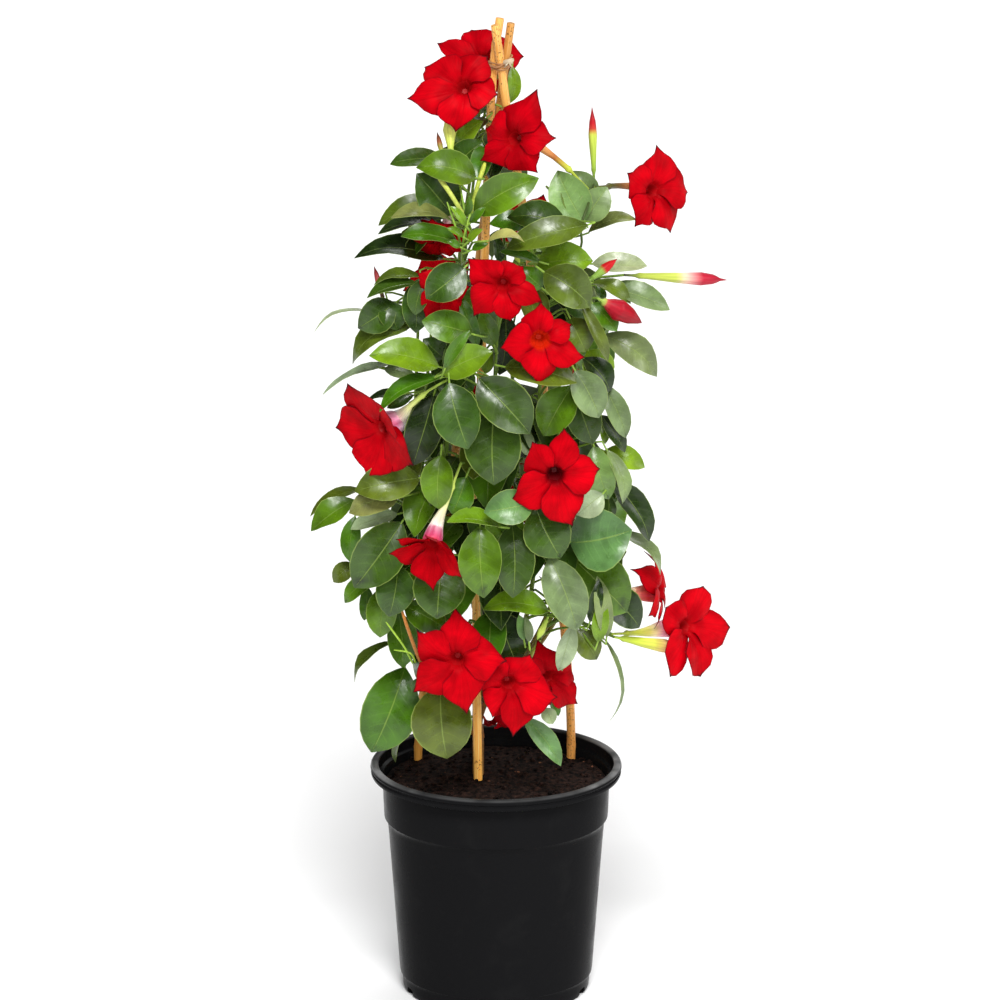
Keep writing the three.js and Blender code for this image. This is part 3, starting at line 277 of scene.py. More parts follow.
def add_node(tree: bpy.types.NodeTree, kind: str, inputs: dict | None = None, stops: list | None = None,
             **settings) -> bpy.types.Node:
    """Add a node with its settings and links.

    Args:
        tree: the material's node tree.
        kind: the node's type without its "ShaderNode".
        inputs: by socket name or number, a value or the output socket that feeds it.
        stops: a colour ramp's (place, sRGB hex) pairs.
        settings: the node's own properties.

    Returns:
        The node.
    """
    node = tree.nodes.new("ShaderNode" + kind)
    for name, value in settings.items():
        setattr(node, name, value)
    for socket, value in (inputs or {}).items():
        if isinstance(value, bpy.types.NodeSocket):
            tree.links.new(value, node.inputs[socket])
        else:
            node.inputs[socket].default_value = value
    for order, (place, code) in enumerate(stops or []):
        ramp = node.color_ramp.elements
        spot = ramp[order] if order < 2 else ramp.new(place)
        spot.position, spot.color = place, (*linear(code), 1)
    return node


@dataclass(frozen=True)
class Finish:
    """What every material shares: a node tree with one shader, and sockets that pieces of it feed."""

    name: str

    def start(self, **constants) -> tuple[bpy.types.Material, bpy.types.NodeTree, bpy.types.Node]:
        """Make an empty material with one shader.

        Args:
            constants: values of the shader's own sockets, with _ for a space.

        Returns:
            The material, its tree and its shader.
        """
        material = bpy.data.materials.new(self.name)
        material.use_nodes = True
        tree = material.node_tree
        tree.nodes.clear()
        values = {name.replace("_", " "): value for name, value in constants.items()}
        shader = add_node(tree, "BsdfPrincipled", values)
        add_node(tree, "OutputMaterial", {"Surface": shader.outputs[0]})
        return material, tree, shader

    @staticmethod
    def math(tree: bpy.types.NodeTree, operation: str, first, second=0.0) -> bpy.types.NodeSocket:
        """Return the result of a sum on two values."""
        return add_node(tree, "Math", {0: first, 1: second}, operation=operation).outputs[0]

    @staticmethod
    def fade(tree: bpy.types.NodeTree, value, low: float, high: float, start=0.0, end=1.0) -> bpy.types.NodeSocket:
        """Return a value that goes from start to end as the given one goes from low to high."""
        inputs = {"Value": value, "From Min": low, "From Max": high, "To Min": start, "To Max": end}
        return add_node(tree, "MapRange", inputs, interpolation_type="SMOOTHSTEP").outputs[0]

    @staticmethod
    def blend(tree: bpy.types.NodeTree, share, first, second, kind: str = "MIX") -> bpy.types.NodeSocket:
        """Return a blend of two colours."""
        colours = [linear(c) + (1,) if isinstance(c, int) else c for c in (first, second)]
        inputs = {0: share, 6: colours[0], 7: colours[1]}
        return add_node(tree, "Mix", inputs, data_type="RGBA", blend_type=kind).outputs[2]

    @staticmethod
    def grain(tree: bpy.types.NodeTree, size: float, where, detail: float = 3) -> bpy.types.NodeSocket:
        """Return noise with features of a size in millimetres.

        Args:
            tree: the material's tree.
            size: the feature size in millimetres.
            where: the coordinates, in metres.
            detail: how much finer noise lies on it.

        Returns:
            The noise's value, from 0 to 1 round 0.5.
        """
        return add_node(tree, "TexNoise", {"Vector": where, "Scale": 1 / (size * MM), "Detail": detail}).outputs[0]

    @staticmethod
    def place(tree: bpy.types.NodeTree) -> bpy.types.NodeSocket:
        """Return the Object coordinates."""
        return add_node(tree, "TexCoord").outputs["Object"]

    @staticmethod
    def tint(tree: bpy.types.NodeTree) -> bpy.types.NodeSocket:
        """Return the colour that the piece's own "tint" attribute holds."""
        return add_node(tree, "Attribute", attribute_name="tint").outputs["Color"]

    @staticmethod
    def surface(tree: bpy.types.NodeTree) -> tuple[bpy.types.NodeSocket, bpy.types.NodeSocket]:
        """Return the two coordinates of the piece's own UV map: across and along."""
        parts = add_node(tree, "SeparateXYZ", {0: add_node(tree, "UVMap", uv_map="UVMap").outputs[0]})
        return parts.outputs[0], parts.outputs[1]

    @staticmethod
    def relief(tree: bpy.types.NodeTree, shader: bpy.types.Node, height, depth: float) -> None:
        """Feed a bump of a depth in millimetres to the shader."""
        bump = add_node(tree, "Bump", {"Height": height, "Distance": depth * MM, "Strength": 1.0})
        tree.links.new(bump.outputs[0], shader.inputs["Normal"])


@dataclass(frozen=True)
class LeafFinish(Finish):
    """Living leaf: a waxy, glossy upper side with sunken paler veins, and a matt underside."""

    name: str = "living leaf with waxy cuticle"
    vein_pairs: float = 8

    def make(self) -> bpy.types.Material:
        """Build the material."""
        # The wax gives the eye broad soft highlights, broken along the midrib and the side veins.
        material, tree, shader = self.start(Specular_IOR_Level=0.52)
        across, along = self.surface(tree)
        off = self.math(tree, "MULTIPLY", self.math(tree, "ABSOLUTE", self.math(tree, "SUBTRACT", across, 0.5)), 2)
        midrib = self.fade(tree, off, 0.01, 0.04, 1, 0)
        slant = self.math(tree, "MULTIPLY", self.math(tree, "POWER", off, 1.25), 0.2)
        phase = self.math(tree, "MULTIPLY", self.math(tree, "SUBTRACT", along, slant), self.vein_pairs)
        wave = self.math(tree, "PINGPONG", phase, 0.5)
        veins = self.math(tree, "MULTIPLY", self.fade(tree, wave, 0, 0.1, 1, 0), self.fade(tree, off, 0.95, 0.3))
        rim = self.fade(tree, off, 0.945, 0.99)
        under = add_node(tree, "Attribute", attribute_name="under").outputs["Fac"]
        where = self.place(tree)
        mottle = self.fade(tree, self.grain(tree, 15, where, 1), 0.3, 0.7, 0.78, 1.2)
        flecks = self.fade(tree, self.grain(tree, 1.6, where), 0.3, 0.7, 0.95, 1.05)
        shade = self.math(tree, "MULTIPLY", mottle, flecks)
        # Painted shade: the blade is darker towards its stalk and lighter towards its tip.
        shade = self.math(tree, "MULTIPLY", shade, self.fade(tree, along, 0, 0.5, 0.82, 1.06))
        lighter = self.math(tree, "ADD", self.math(tree, "MULTIPLY", veins, 0.2), 1.0)
        shade = self.math(tree, "MULTIPLY", shade, lighter)
        grey = add_node(tree, "CombineColor", {0: shade, 1: shade, 2: shade}).outputs[0]
        colour = self.blend(tree, 1.0, self.tint(tree), grey, "MULTIPLY")
        colour = self.blend(tree, self.math(tree, "MULTIPLY", veins, 0.05), colour, 0x7F9A44)
        colour = self.blend(tree, self.math(tree, "MULTIPLY", rim, 0.42), colour, 0xA4B85C)
        colour = self.blend(tree, self.math(tree, "MULTIPLY", midrib, 0.36), colour, 0x93AC4C)
        colour = self.blend(tree, self.math(tree, "MULTIPLY", under, 0.4), colour, 0x6E8450)
        tree.links.new(colour, shader.inputs["Base Color"])
        gloss = self.fade(tree, self.grain(tree, 9, where), 0.3, 0.7, 0.24, 0.4)
        matt = add_node(tree, "Mix", {0: under, 2: gloss, 3: 0.6}).outputs[0]
        tree.links.new(matt, shader.inputs["Roughness"])
        sunk = self.math(tree, "ADD", midrib, self.math(tree, "MULTIPLY", veins, 0.1))
        height = self.math(tree, "SUBTRACT", self.math(tree, "MULTIPLY", self.grain(tree, 7, where, 1), 1.6), sunk)
        self.relief(tree, shader, height, 0.24)
        return material


@dataclass(frozen=True)
class StemFinish(Finish):
    """Living stem: smooth green bark below the flowers, brown and fissured lower down."""

    name: str = "living stem"

    def make(self) -> bpy.types.Material:
        """Build the material."""
        # The thin bark gives the eye a soft sheen with fine lengthwise mottling.
        material, tree, shader = self.start(Roughness=0.48, Specular_IOR_Level=0.3)
        where = self.place(tree)
        shade = self.fade(tree, self.grain(tree, 3, where), 0.3, 0.7, 0.8, 1.15)
        grey = add_node(tree, "CombineColor", {0: shade, 1: shade, 2: shade}).outputs[0]
        colour = self.blend(tree, 1.0, self.tint(tree), grey, "MULTIPLY")
        tree.links.new(colour, shader.inputs["Base Color"])
        self.relief(tree, shader, self.grain(tree, 1.4, where), 0.15)
        return material


@dataclass(frozen=True)
class PetalFinish(Finish):
    """Living petal: velvety, saturated, finely ribbed from the throat out, darker at its rim and throat, partly by
    painted shade in the piece's tint.
    """

    name: str = "velvety living petal"
    rim: int = 0x5E0410

    def make(self) -> bpy.types.Material:
        """Build the material."""
        # The raised cells of a petal give the eye a deep flat colour with a little sheen at grazing angles.
        material, tree, shader = self.start(Roughness=0.46, Specular_IOR_Level=0.03)
        across, along = self.surface(tree)
        where = self.place(tree)
        ribs = add_node(tree, "CombineXYZ", {0: self.math(tree, "MULTIPLY", across, 34),
                                             1: self.math(tree, "MULTIPLY", along, 2.2)}).outputs[0]
        rib = add_node(tree, "TexNoise", {"Vector": ribs, "Scale": 1.0, "Detail": 2.0}).outputs[0]
        shade = self.math(tree, "MULTIPLY", self.fade(tree, rib, 0.3, 0.7, 0.9, 1.06),
                          self.fade(tree, self.grain(tree, 13, where, 1), 0.3, 0.7, 0.8, 1.1))
        grey = add_node(tree, "CombineColor", {0: shade, 1: shade, 2: shade}).outputs[0]
        colour = self.blend(tree, 1.0, self.tint(tree), grey, "MULTIPLY")
        side = self.math(tree, "ABSOLUTE", self.math(tree, "SUBTRACT", across, 0.5))
        outer = self.math(tree, "MAXIMUM", self.fade(tree, side, 0.478, 0.497), self.fade(tree, along, 0.965, 0.995))
        outer = self.math(tree, "MULTIPLY", outer, self.fade(tree, along, 0.3, 0.5))
        colour = self.blend(tree, self.math(tree, "MULTIPLY", outer, 0.7), colour, self.rim)
        point = self.math(tree, "MULTIPLY", self.fade(tree, along, 0.93, 0.99), self.fade(tree, side, 0.02, 0.07, 1, 0))
        colour = self.blend(tree, self.math(tree, "MULTIPLY", point, 0.85), colour, 0x2A0C10)
        tree.links.new(colour, shader.inputs["Base Color"])
        self.relief(tree, shader, rib, 0.2)
        return material


@dataclass(frozen=True)
class TubeFinish(Finish):
    """Living flower tube and bud: smooth and waxy, in the piece's own colours, with fine stripes."""

    name: str = "waxy flower tube"

    def make(self) -> bpy.types.Material:
        """Build the material."""
        # The waxy skin gives the eye a soft gloss over colours that run into each other along the tube.
        material, tree, shader = self.start(Roughness=0.42, Specular_IOR_Level=0.25)
        across, along = self.surface(tree)
        stripes = add_node(tree, "CombineXYZ", {0: self.math(tree, "MULTIPLY", across, 22),
                                                1: self.math(tree, "MULTIPLY", along, 3)}).outputs[0]
        stripe = add_node(tree, "TexNoise", {"Vector": stripes, "Scale": 1.0, "Detail": 2.0}).outputs[0]
        shade = self.fade(tree, stripe, 0.3, 0.7, 0.94, 1.24)
        grey = add_node(tree, "CombineColor", {0: shade, 1: shade, 2: shade}).outputs[0]
        colour = self.blend(tree, 1.0, self.tint(tree), grey, "MULTIPLY")
        tree.links.new(colour, shader.inputs["Base Color"])
        self.relief(tree, shader, stripe, 0.2)
        return material


@dataclass(frozen=True)
class PotFinish(Finish):
    """Injection-moulded polypropylene, coloured black in the mass, satin where the mould was polished."""

    name: str = "moulded black polypropylene"

    def make(self) -> bpy.types.Material:
        """Build the material."""
        # The mould's fine texture gives the eye wide grey highlights, with a little dust. The pale broken band on the
        # rim's top lip, strongest at its left and right, is a painted highlight.
        material, tree, shader = self.start(Specular_IOR_Level=0.015)
        where = self.place(tree)
        dust = self.fade(tree, self.grain(tree, 28, where, 5), 0.52, 0.75, 0, 0.3)
        colour = self.blend(tree, dust, 0x141415, 0x1E1E1E)
        parts = add_node(tree, "SeparateXYZ", {0: where}).outputs
        # Painted highlight: a pale broken band along the top lip of the rim, stronger towards its left and right.
        painted_rim_highlight = self.math(tree, "MULTIPLY", self.fade(tree, parts[2], 207.4 * MM, 209 * MM),
                        self.fade(tree, self.grain(tree, 34, where, 2), 0.36, 0.64, 0.35, 1))
        painted_rim_highlight = self.math(tree, "MULTIPLY", painted_rim_highlight, self.fade(tree, self.math(tree, "ABSOLUTE", parts[0]), 0.06, 0.11, 0.2, 1))
        colour = self.blend(tree, self.math(tree, "MULTIPLY", painted_rim_highlight, 0.7), colour, 0x9A9A9A)
        tree.links.new(colour, shader.inputs["Base Color"])
        gloss = self.fade(tree, self.grain(tree, 17, where, 4), 0.3, 0.7, 0.2, 0.3)
        tree.links.new(gloss, shader.inputs["Roughness"])
        self.relief(tree, shader, self.grain(tree, 0.9, where, 2), 0.03)
        return material


@dataclass(frozen=True)
class PeatFinish(Finish):
    """Moist peat potting mix: dark brown, crumbly and matt."""

    name: str = "moist peat"

    def make(self) -> bpy.types.Material:
        """Build the material."""
        # The loose crumbs give the eye a near-black brown that never shines.
        material, tree, shader = self.start(Roughness=0.95, Specular_IOR_Level=0.1)
        where = self.place(tree)
        clumps = self.fade(tree, self.grain(tree, 5, where, 6), 0.35, 0.7)
        colour = self.blend(tree, clumps, 0x0E0A09, 0x35241E)
        flecks = self.fade(tree, self.grain(tree, 1.8, where, 2), 0.7, 0.78)
        colour = self.blend(tree, self.math(tree, "MULTIPLY", flecks, 0.5), colour, 0x6A5138)
        colour = self.blend(tree, 1.0, colour, self.tint(tree), "MULTIPLY")
        tree.links.new(colour, shader.inputs["Base Color"])
        self.relief(tree, shader, self.grain(tree, 2.4, where, 8), 2.2)
        return material


@dataclass(frozen=True)
class BambooFinish(Finish):
    """Cured bamboo cane: straw to orange, hard and waxy, with dark age spots and lengthwise fibres."""

    name: str = "cured bamboo cane"

    def make(self) -> bpy.types.Material:
        """Build the material."""
        # The silica-rich skin gives the eye a satin gloss over streaked fibres and dark mould spots.
        material, tree, shader = self.start(Roughness=0.45, Specular_IOR_Level=0.3)
        across, along = self.surface(tree)
        where = self.place(tree)
        fibre = add_node(tree, "CombineXYZ", {0: self.math(tree, "MULTIPLY", across, 30),
                                              1: self.math(tree, "MULTIPLY", along, 14)}).outputs[0]
        streak = add_node(tree, "TexNoise", {"Vector": fibre, "Scale": 1.0, "Detail": 3.0}).outputs[0]
        colour = add_node(tree, "ValToRGB", {0: streak}, stops=[(0.3, 0xD49440), (0.72, 0xF8D48E), (0.5, 0xECB45C)])
        blotch = self.fade(tree, self.grain(tree, 16, where, 4), 0.5, 0.75, 0, 0.35)
        tone = self.blend(tree, blotch, colour.outputs[0], 0xB4702F)
        spots = self.math(tree, "MULTIPLY", self.fade(tree, self.grain(tree, 1.8, where, 2), 0.56, 0.66),
                          self.fade(tree, self.grain(tree, 22, where, 2), 0.4, 0.58))
        tone = self.blend(tree, self.math(tree, "MULTIPLY", spots, 0.75), tone, 0x4A2E18)
        tone = self.blend(tree, 1.0, tone, self.tint(tree), "MULTIPLY")
        tree.links.new(tone, shader.inputs["Base Color"])
        self.relief(tree, shader, streak, 0.2)
        return material


@dataclass(frozen=True)
class RaffiaFinish(Finish):
    """Raffia: dried palm leaf, torn to strands, straw-coloured and fibrous."""

    name: str = "dried raffia"

    def make(self) -> bpy.types.Material:
        """Build the material."""
        # The dry fibres give the eye a pale matt straw with fine lengthwise lines.
        material, tree, shader = self.start(Roughness=0.7, IOR=1.4)
        across, along = self.surface(tree)
        fibre = add_node(tree, "CombineXYZ", {0: self.math(tree, "MULTIPLY", across, 12),
                                              1: self.math(tree, "MULTIPLY", along, 4)}).outputs[0]
        streak = add_node(tree, "TexNoise", {"Vector": fibre, "Scale": 1.0, "Detail": 3.0}).outputs[0]
        stops = [(0.3, 0xD8C8A8), (0.7, 0xFFFFFF), (0.5, 0xF2EADA)]
        colour = add_node(tree, "ValToRGB", {0: streak}, stops=stops).outputs[0]
        colour = self.blend(tree, 1.0, colour, self.tint(tree), "MULTIPLY")
        tree.links.new(colour, shader.inputs["Base Color"])
        self.relief(tree, shader, streak, 0.3)
        return material


@dataclass(frozen=True)
class FloorFinish(Finish):
    """Matt white studio paper."""

    name: str = "matt white paper"

    def make(self) -> bpy.types.Material:
        """Build the material."""
        material, tree, shader = self.start(Roughness=0.9, IOR=1.3)
        tone = self.fade(tree, self.grain(tree, 900, self.place(tree)), 0.3, 0.7)
        tree.links.new(self.blend(tree, tone, 0xF6F6F6, 0xFAFAFA), shader.inputs["Base Color"])
        return material


# ---- Paths, templates and copies ----


class Path:
    """A smooth way through points, divided evenly by length."""

    def __init__(self, points: list[np.ndarray], fineness: int = 24) -> None:
        """Lay the way through points, as a centripetal Catmull-Rom spline.

        Args:
            points: two or more points.
            fineness: how many stretches it has between two of them.
        """
        spots = [np.asarray(point, float) for point in points]
        spots = [2 * spots[0] - spots[1], *spots, 2 * spots[-1] - spots[-2]]
        fine = []
        for p0, p1, p2, p3 in zip(spots, spots[1:], spots[2:], spots[3:]):
            t01, t12, t23 = (max(1e-4, float(np.linalg.norm(b - a))) ** 0.5 for a, b in ((p0, p1), (p1, p2), (p2, p3)))
            out = t12 * ((p1 - p0) / t01 - (p2 - p0) / (t01 + t12) + (p2 - p1) / t12)
            into = t12 * ((p2 - p1) / t12 - (p3 - p1) / (t12 + t23) + (p3 - p2) / t23)
            for t in np.arange(fineness) / fineness:
                square, cube = t * t, t**3
                fine.append((2 * cube - 3 * square + 1) * p1 + (cube - 2 * square + t) * out
                            + (3 * square - 2 * cube) * p2 + (cube - square) * into)
        self.fine = np.array([*fine, spots[-2]])
        steps = np.linalg.norm(np.diff(self.fine, axis=0), axis=1)
        self.reach = np.concatenate([[0], np.cumsum(steps)])
        self.length = float(self.reach[-1])

    def at(self, shares: np.ndarray | float) -> np.ndarray:
        """Return the points at shares of the length."""
        spots = np.clip(shares, 0, 1) * self.length
        return np.stack([np.interp(spots, self.reach, self.fine[:, axis]) for axis in range(3)], axis=-1)

    def frames(self, shares: np.ndarray, first: np.ndarray | None = None) -> tuple[np.ndarray, ...]:
        """Return the points, normals and binormals at shares of the length, without twist.

        Args:
            shares: where, from 0 to 1, in any order.
            first: the normal at the start, or None to choose one.

        Returns:
            Three arrays of vectors.
        """
        stations = np.linspace(0, 1, 65)
        points = self.at(stations)
        ways = np.gradient(points, axis=0)
        ways /= np.linalg.norm(ways, axis=1)[:, None]
        if first is None:
            axis = np.eye(3)[int(np.argmin(np.abs(ways[0])))]
            first = np.cross(ways[0], unit(np.cross(ways[0], axis)))
        normals = [unit(first - ways[0] * np.dot(first, ways[0]))]
        for way in ways[1:]:
            normals.append(unit(normals[-1] - way * np.dot(normals[-1], way)))
        normals = np.array(normals)
        binormals = np.cross(ways, normals)
        spread = [np.stack([np.interp(shares, stations, rows[:, i]) for i in range(3)], axis=-1)
                  for rows in (normals, binormals)]
        return self.at(shares), spread[0], spread[1]


def deselect() -> None:
    """Deselect every object."""
    bpy.ops.object.select_all(action="DESELECT")


def corners_of(piece: bpy.types.Object) -> np.ndarray:
    """Return a piece's corners as an array."""
    spots = np.empty(len(piece.data.vertices) * 3, np.float32)
    piece.data.vertices.foreach_get("co", spots)
    return spots.reshape(-1, 3).astype(float)


def set_uv(piece: bpy.types.Object, across: np.ndarray, along: np.ndarray) -> None:
    """Give a piece a UV map from two values at each corner, closed round a seam.

    Args:
        piece: the piece.
        across: 0 to 1 round or across it, by corner.
        along: any value along it, by corner.
    """
    mesh = piece.data
    while mesh.uv_layers:
        mesh.uv_layers.remove(mesh.uv_layers[0])
    layer = mesh.uv_layers.new(name="UVMap")
    spots = np.empty(len(mesh.loops), np.int32)
    mesh.loops.foreach_get("vertex_index", spots)
    values = np.stack([across[spots], along[spots]], axis=1)
    for face in mesh.polygons:
        ends = slice(face.loop_start, face.loop_start + face.loop_total)
        if np.ptp(values[ends, 0]) > 0.6:
            values[ends, 0] += values[ends, 0] < 0.4
    layer.data.foreach_set("uv", values.astype(np.float32).ravel())


class Template:
    """A mesh that is modelled once and copied to each place where it repeats."""

    piece: bpy.types.Object

    def copy(self, name: str, corners: np.ndarray, tint: np.ndarray, under: np.ndarray | None = None) -> bpy.types.Object:
        """Make a copy with its own mesh.

        Args:
            name: the copy's name.
            corners: its corners in millimetres.
            tint: its linear colour, one for all or one for each corner.
            under: 1 at each corner of an underside, or None.

        Returns:
            The copy.
        """
        mesh = self.piece.data.copy()
        mesh.vertices.foreach_set("co", (corners * MM).astype(np.float32).ravel())
        colours = np.ones((len(mesh.vertices), 4), np.float32)
        colours[:, :3] = tint
        mesh.attributes.new("tint", "FLOAT_COLOR", "POINT").data.foreach_set("color", colours.ravel())
        if under is not None:
            mesh.attributes.new("under", "FLOAT", "POINT").data.foreach_set("value", under.astype(np.float32))
        piece = bpy.data.objects.new(name, mesh)
        bpy.context.scene.collection.objects.link(piece)
        return piece

    def drop(self) -> None:
        """Remove the template once its copies are made."""
        bpy.data.objects.remove(self.piece)


class Tube(Template):
    """A closed tube of rings, extruded from a circle, whose rings are placed one by one."""

    made: dict[tuple[int, int], "Tube"] = {}

    def __init__(self, sides: int, rings: int) -> None:
        """Model the tube with a radius and a ring spacing of one."""
        deselect()
        bpy.ops.mesh.primitive_circle_add(vertices=sides, radius=1.0, fill_type="NGON")
        self.piece = bpy.context.object
        bpy.ops.object.mode_set(mode="EDIT")
        bpy.ops.mesh.select_all(action="SELECT")
        for _ in range(rings - 1):
            bpy.ops.mesh.extrude_region_move(TRANSFORM_OT_translate={"value": (0, 0, 1)})
        bpy.ops.mesh.select_all(action="SELECT")
        bpy.ops.mesh.normals_make_consistent(inside=False)
        bpy.ops.object.mode_set(mode="OBJECT")
        self.piece.hide_render = True
        spots = corners_of(self.piece)
        self.ring = np.rint(spots[:, 2]).astype(int)
        self.angle = np.arctan2(spots[:, 1], spots[:, 0])
        set_uv(self.piece, (self.angle / (2 * math.pi)) % 1, self.ring / (rings - 1))

    @classmethod
    def of(cls, sides: int, rings: int) -> "Tube":
        """Return the template with that many sides and rings, modelled on its first use."""
        if (sides, rings) not in cls.made:
            cls.made[sides, rings] = cls(sides, rings)
        return cls.made[sides, rings]

    def along(self, name: str, path: Path, shares: np.ndarray, radii: np.ndarray, tints: np.ndarray,
              first: np.ndarray | None = None, flat: float = 1.0) -> bpy.types.Object:
        """Make a copy that follows a path.

        Args:
            name: the copy's name.
            path: the path.
            shares: each ring's place on it, from 0 to 1.
            radii: each ring's radius, or one row of factors by corner for each ring.
            tints: one colour, or one for each ring, or one for each corner.
            first: the normal at the path's start, or None.
            flat: the section's thickness along the binormal, as a share of its width.

        Returns:
            The copy.
        """
        centres, normals, binormals = path.frames(shares, first)
        ring, angle = self.ring, self.angle
        reach = np.broadcast_to(radii, shares.shape)[ring][:, None]
        out = np.cos(angle)[:, None] * normals[ring] + flat * np.sin(angle)[:, None] * binormals[ring]
        colours = np.asarray(tints, float)
        if len(colours) == len(shares) and colours.ndim == 2:
            colours = colours[ring]
        return self.copy(name, centres[ring] + reach * out, colours)


class Sheet(Template):
    """A closed thin sheet, extruded from a grid, that is bent to each blade or petal."""

    def __init__(self, across: list[float], along: list[float]) -> None:
        """Model the sheet.

        Args:
            across: its columns, from -1 to 1.
            along: its rows, from 0 to 1.
        """
        deselect()
        columns, rows = len(across) - 1, len(along) - 1
        bpy.ops.mesh.primitive_grid_add(x_subdivisions=columns, y_subdivisions=rows, size=2)
        self.piece = bpy.context.object
        bpy.ops.object.mode_set(mode="EDIT")
        bpy.ops.mesh.select_all(action="SELECT")
        bpy.ops.mesh.extrude_region_move(TRANSFORM_OT_translate={"value": (0, 0, -1)})
        bpy.ops.mesh.select_all(action="SELECT")
        bpy.ops.mesh.normals_make_consistent(inside=False)
        bpy.ops.object.mode_set(mode="OBJECT")
        self.piece.hide_render = True
        spots = corners_of(self.piece)
        order = [np.rint((spots[:, axis] + 1) / 2 * count).astype(int) for axis, count in ((0, columns), (1, rows))]
        self.u = np.array(across)[order[0]]
        self.v = np.array(along)[order[1]]
        self.under = (spots[:, 2] < -0.5).astype(float)
        set_uv(self.piece, (self.u + 1) / 2, self.v)


def joined(name: str, pieces: list[bpy.types.Object], material: bpy.types.Material, nodes: list[str],
           angle: float = 50) -> bpy.types.Object:
    """Join copies to one finished piece that rides with the part.

    Args:
        name: the piece's name.
        pieces: the copies.
        material: its finish.
        nodes: the CAD nodes that it stands for.
        angle: edges sharper than this many degrees stay sharp.

    Returns:
        The piece.
    """
    deselect()
    for piece in pieces:
        piece.select_set(True)
    bpy.context.view_layer.objects.active = pieces[0]
    if len(pieces) > 1:
        bpy.ops.object.join()
    whole = bpy.context.view_layer.objects.active
    bpy.ops.object.shade_smooth_by_angle(angle=math.radians(angle))
    whole.name = name
    whole.data.name = name
    whole.data.materials.clear()
    whole.data.materials.append(material)
    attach(whole, BODY)
    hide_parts(*nodes)
    log.info("%s: %d faces", name, len(whole.data.polygons))
    return whole


# ---- Pot and potting mix ----


@dataclass
class NurseryPot:
    """The moulded pot: a tapering wall with a collar, a ridged rim and a foot with drain cut-outs."""

    sides: int = 128
    outside: list[tuple[float, float]] = field(default_factory=lambda: [
        (60, 2.0), (74, 2.0), (76, 0), (80.3, 0), (82, 0.6), (83.3, 3), (83.6, 7.5), (84.1, 12), (84.6, 14.6),
        (85.9, 16), (86.4, 20), (90.6, 78), (95.6, 145), (96.4, 154), (96.9, 157), (98.2, 159.4), (99.6, 161),
        (99.9, 165), (100.7, 185), (101.3, 198.2), (102, 199), (109.4, 199), (110.6, 199.6), (111.3, 201),
        (111.2, 202.6), (110.3, 203.4), (110.2, 204.2), (111.2, 204.9), (111.8, 206.2), (111.5, 208), (110.4, 209.4),
        (108.4, 210), (106.4, 209.9), (105, 209.1), (104.4, 207.6)])
    inside: list[tuple[float, float]] = field(default_factory=lambda: [
        (104, 202), (103.2, 200.2), (100.4, 198.9), (99.6, 197.6), (98.9, 180), (98, 163), (97.4, 160.6), (95.2, 158),
        (89.7, 88), (84.2, 17), (83.4, 8), (81.5, 3)])
    drains: int = 8
    drain_width: float = 12
    drain_height: float = 7

    def build(self) -> None:
        """Extrude the wall ring by ring, close its floor and cut the drains."""
        section = [*self.outside, *self.inside]
        deselect()
        radius, height = section[0]
        bpy.ops.mesh.primitive_circle_add(vertices=self.sides, radius=radius * MM, fill_type="NGON",
                                          location=(0, 0, height * MM))
        pot = bpy.context.object
        bpy.ops.object.mode_set(mode="EDIT")
        bpy.ops.mesh.select_all(action="SELECT")
        for (before, low), (after, high) in zip(section, section[1:]):
            bpy.ops.mesh.extrude_region_move(TRANSFORM_OT_translate={"value": (0, 0, (high - low) * MM)})
            bpy.ops.transform.resize(value=(after / before, after / before, 1))
        bpy.ops.mesh.select_all(action="SELECT")
        bpy.ops.mesh.normals_make_consistent(inside=False)
        bpy.ops.object.mode_set(mode="OBJECT")
        bpy.ops.object.transform_apply(location=True, rotation=True, scale=True)
        for order in range(self.drains):
            self.cut_drain(pot, 2 * math.pi * (order + 0.5) / self.drains)
        joined("nursery_pot", [pot], PotFinish().make(), ["pot"], 32)

    def cut_drain(self, pot: bpy.types.Object, angle: float) -> None:
        """Cut one arched drain through the foot.

        Args:
            pot: the pot.
            angle: where round the foot, in radians.
        """
        deselect()
        spot = (84 * MM * math.cos(angle), 84 * MM * math.sin(angle), 0)
        bpy.ops.mesh.primitive_cube_add(size=MM, location=spot, rotation=(0, 0, angle))
        cutter = bpy.context.object
        cutter.scale = (14, self.drain_width, 2 * self.drain_height)
        bpy.ops.object.transform_apply(location=True, rotation=True, scale=True)
        bpy.ops.object.mode_set(mode="EDIT")
        bpy.ops.mesh.select_all(action="SELECT")
        bpy.ops.mesh.bevel(offset=2.2 * MM, segments=3, affect="EDGES")
        bpy.ops.object.mode_set(mode="OBJECT")
        deselect()
        pot.select_set(True)
        bpy.context.view_layer.objects.active = pot
        cut = pot.modifiers.new("drain", "BOOLEAN")
        cut.operation, cut.object, cut.solver = "DIFFERENCE", cutter, "EXACT"
        bpy.ops.object.modifier_apply(modifier=cut.name)
        bpy.data.objects.remove(cutter)


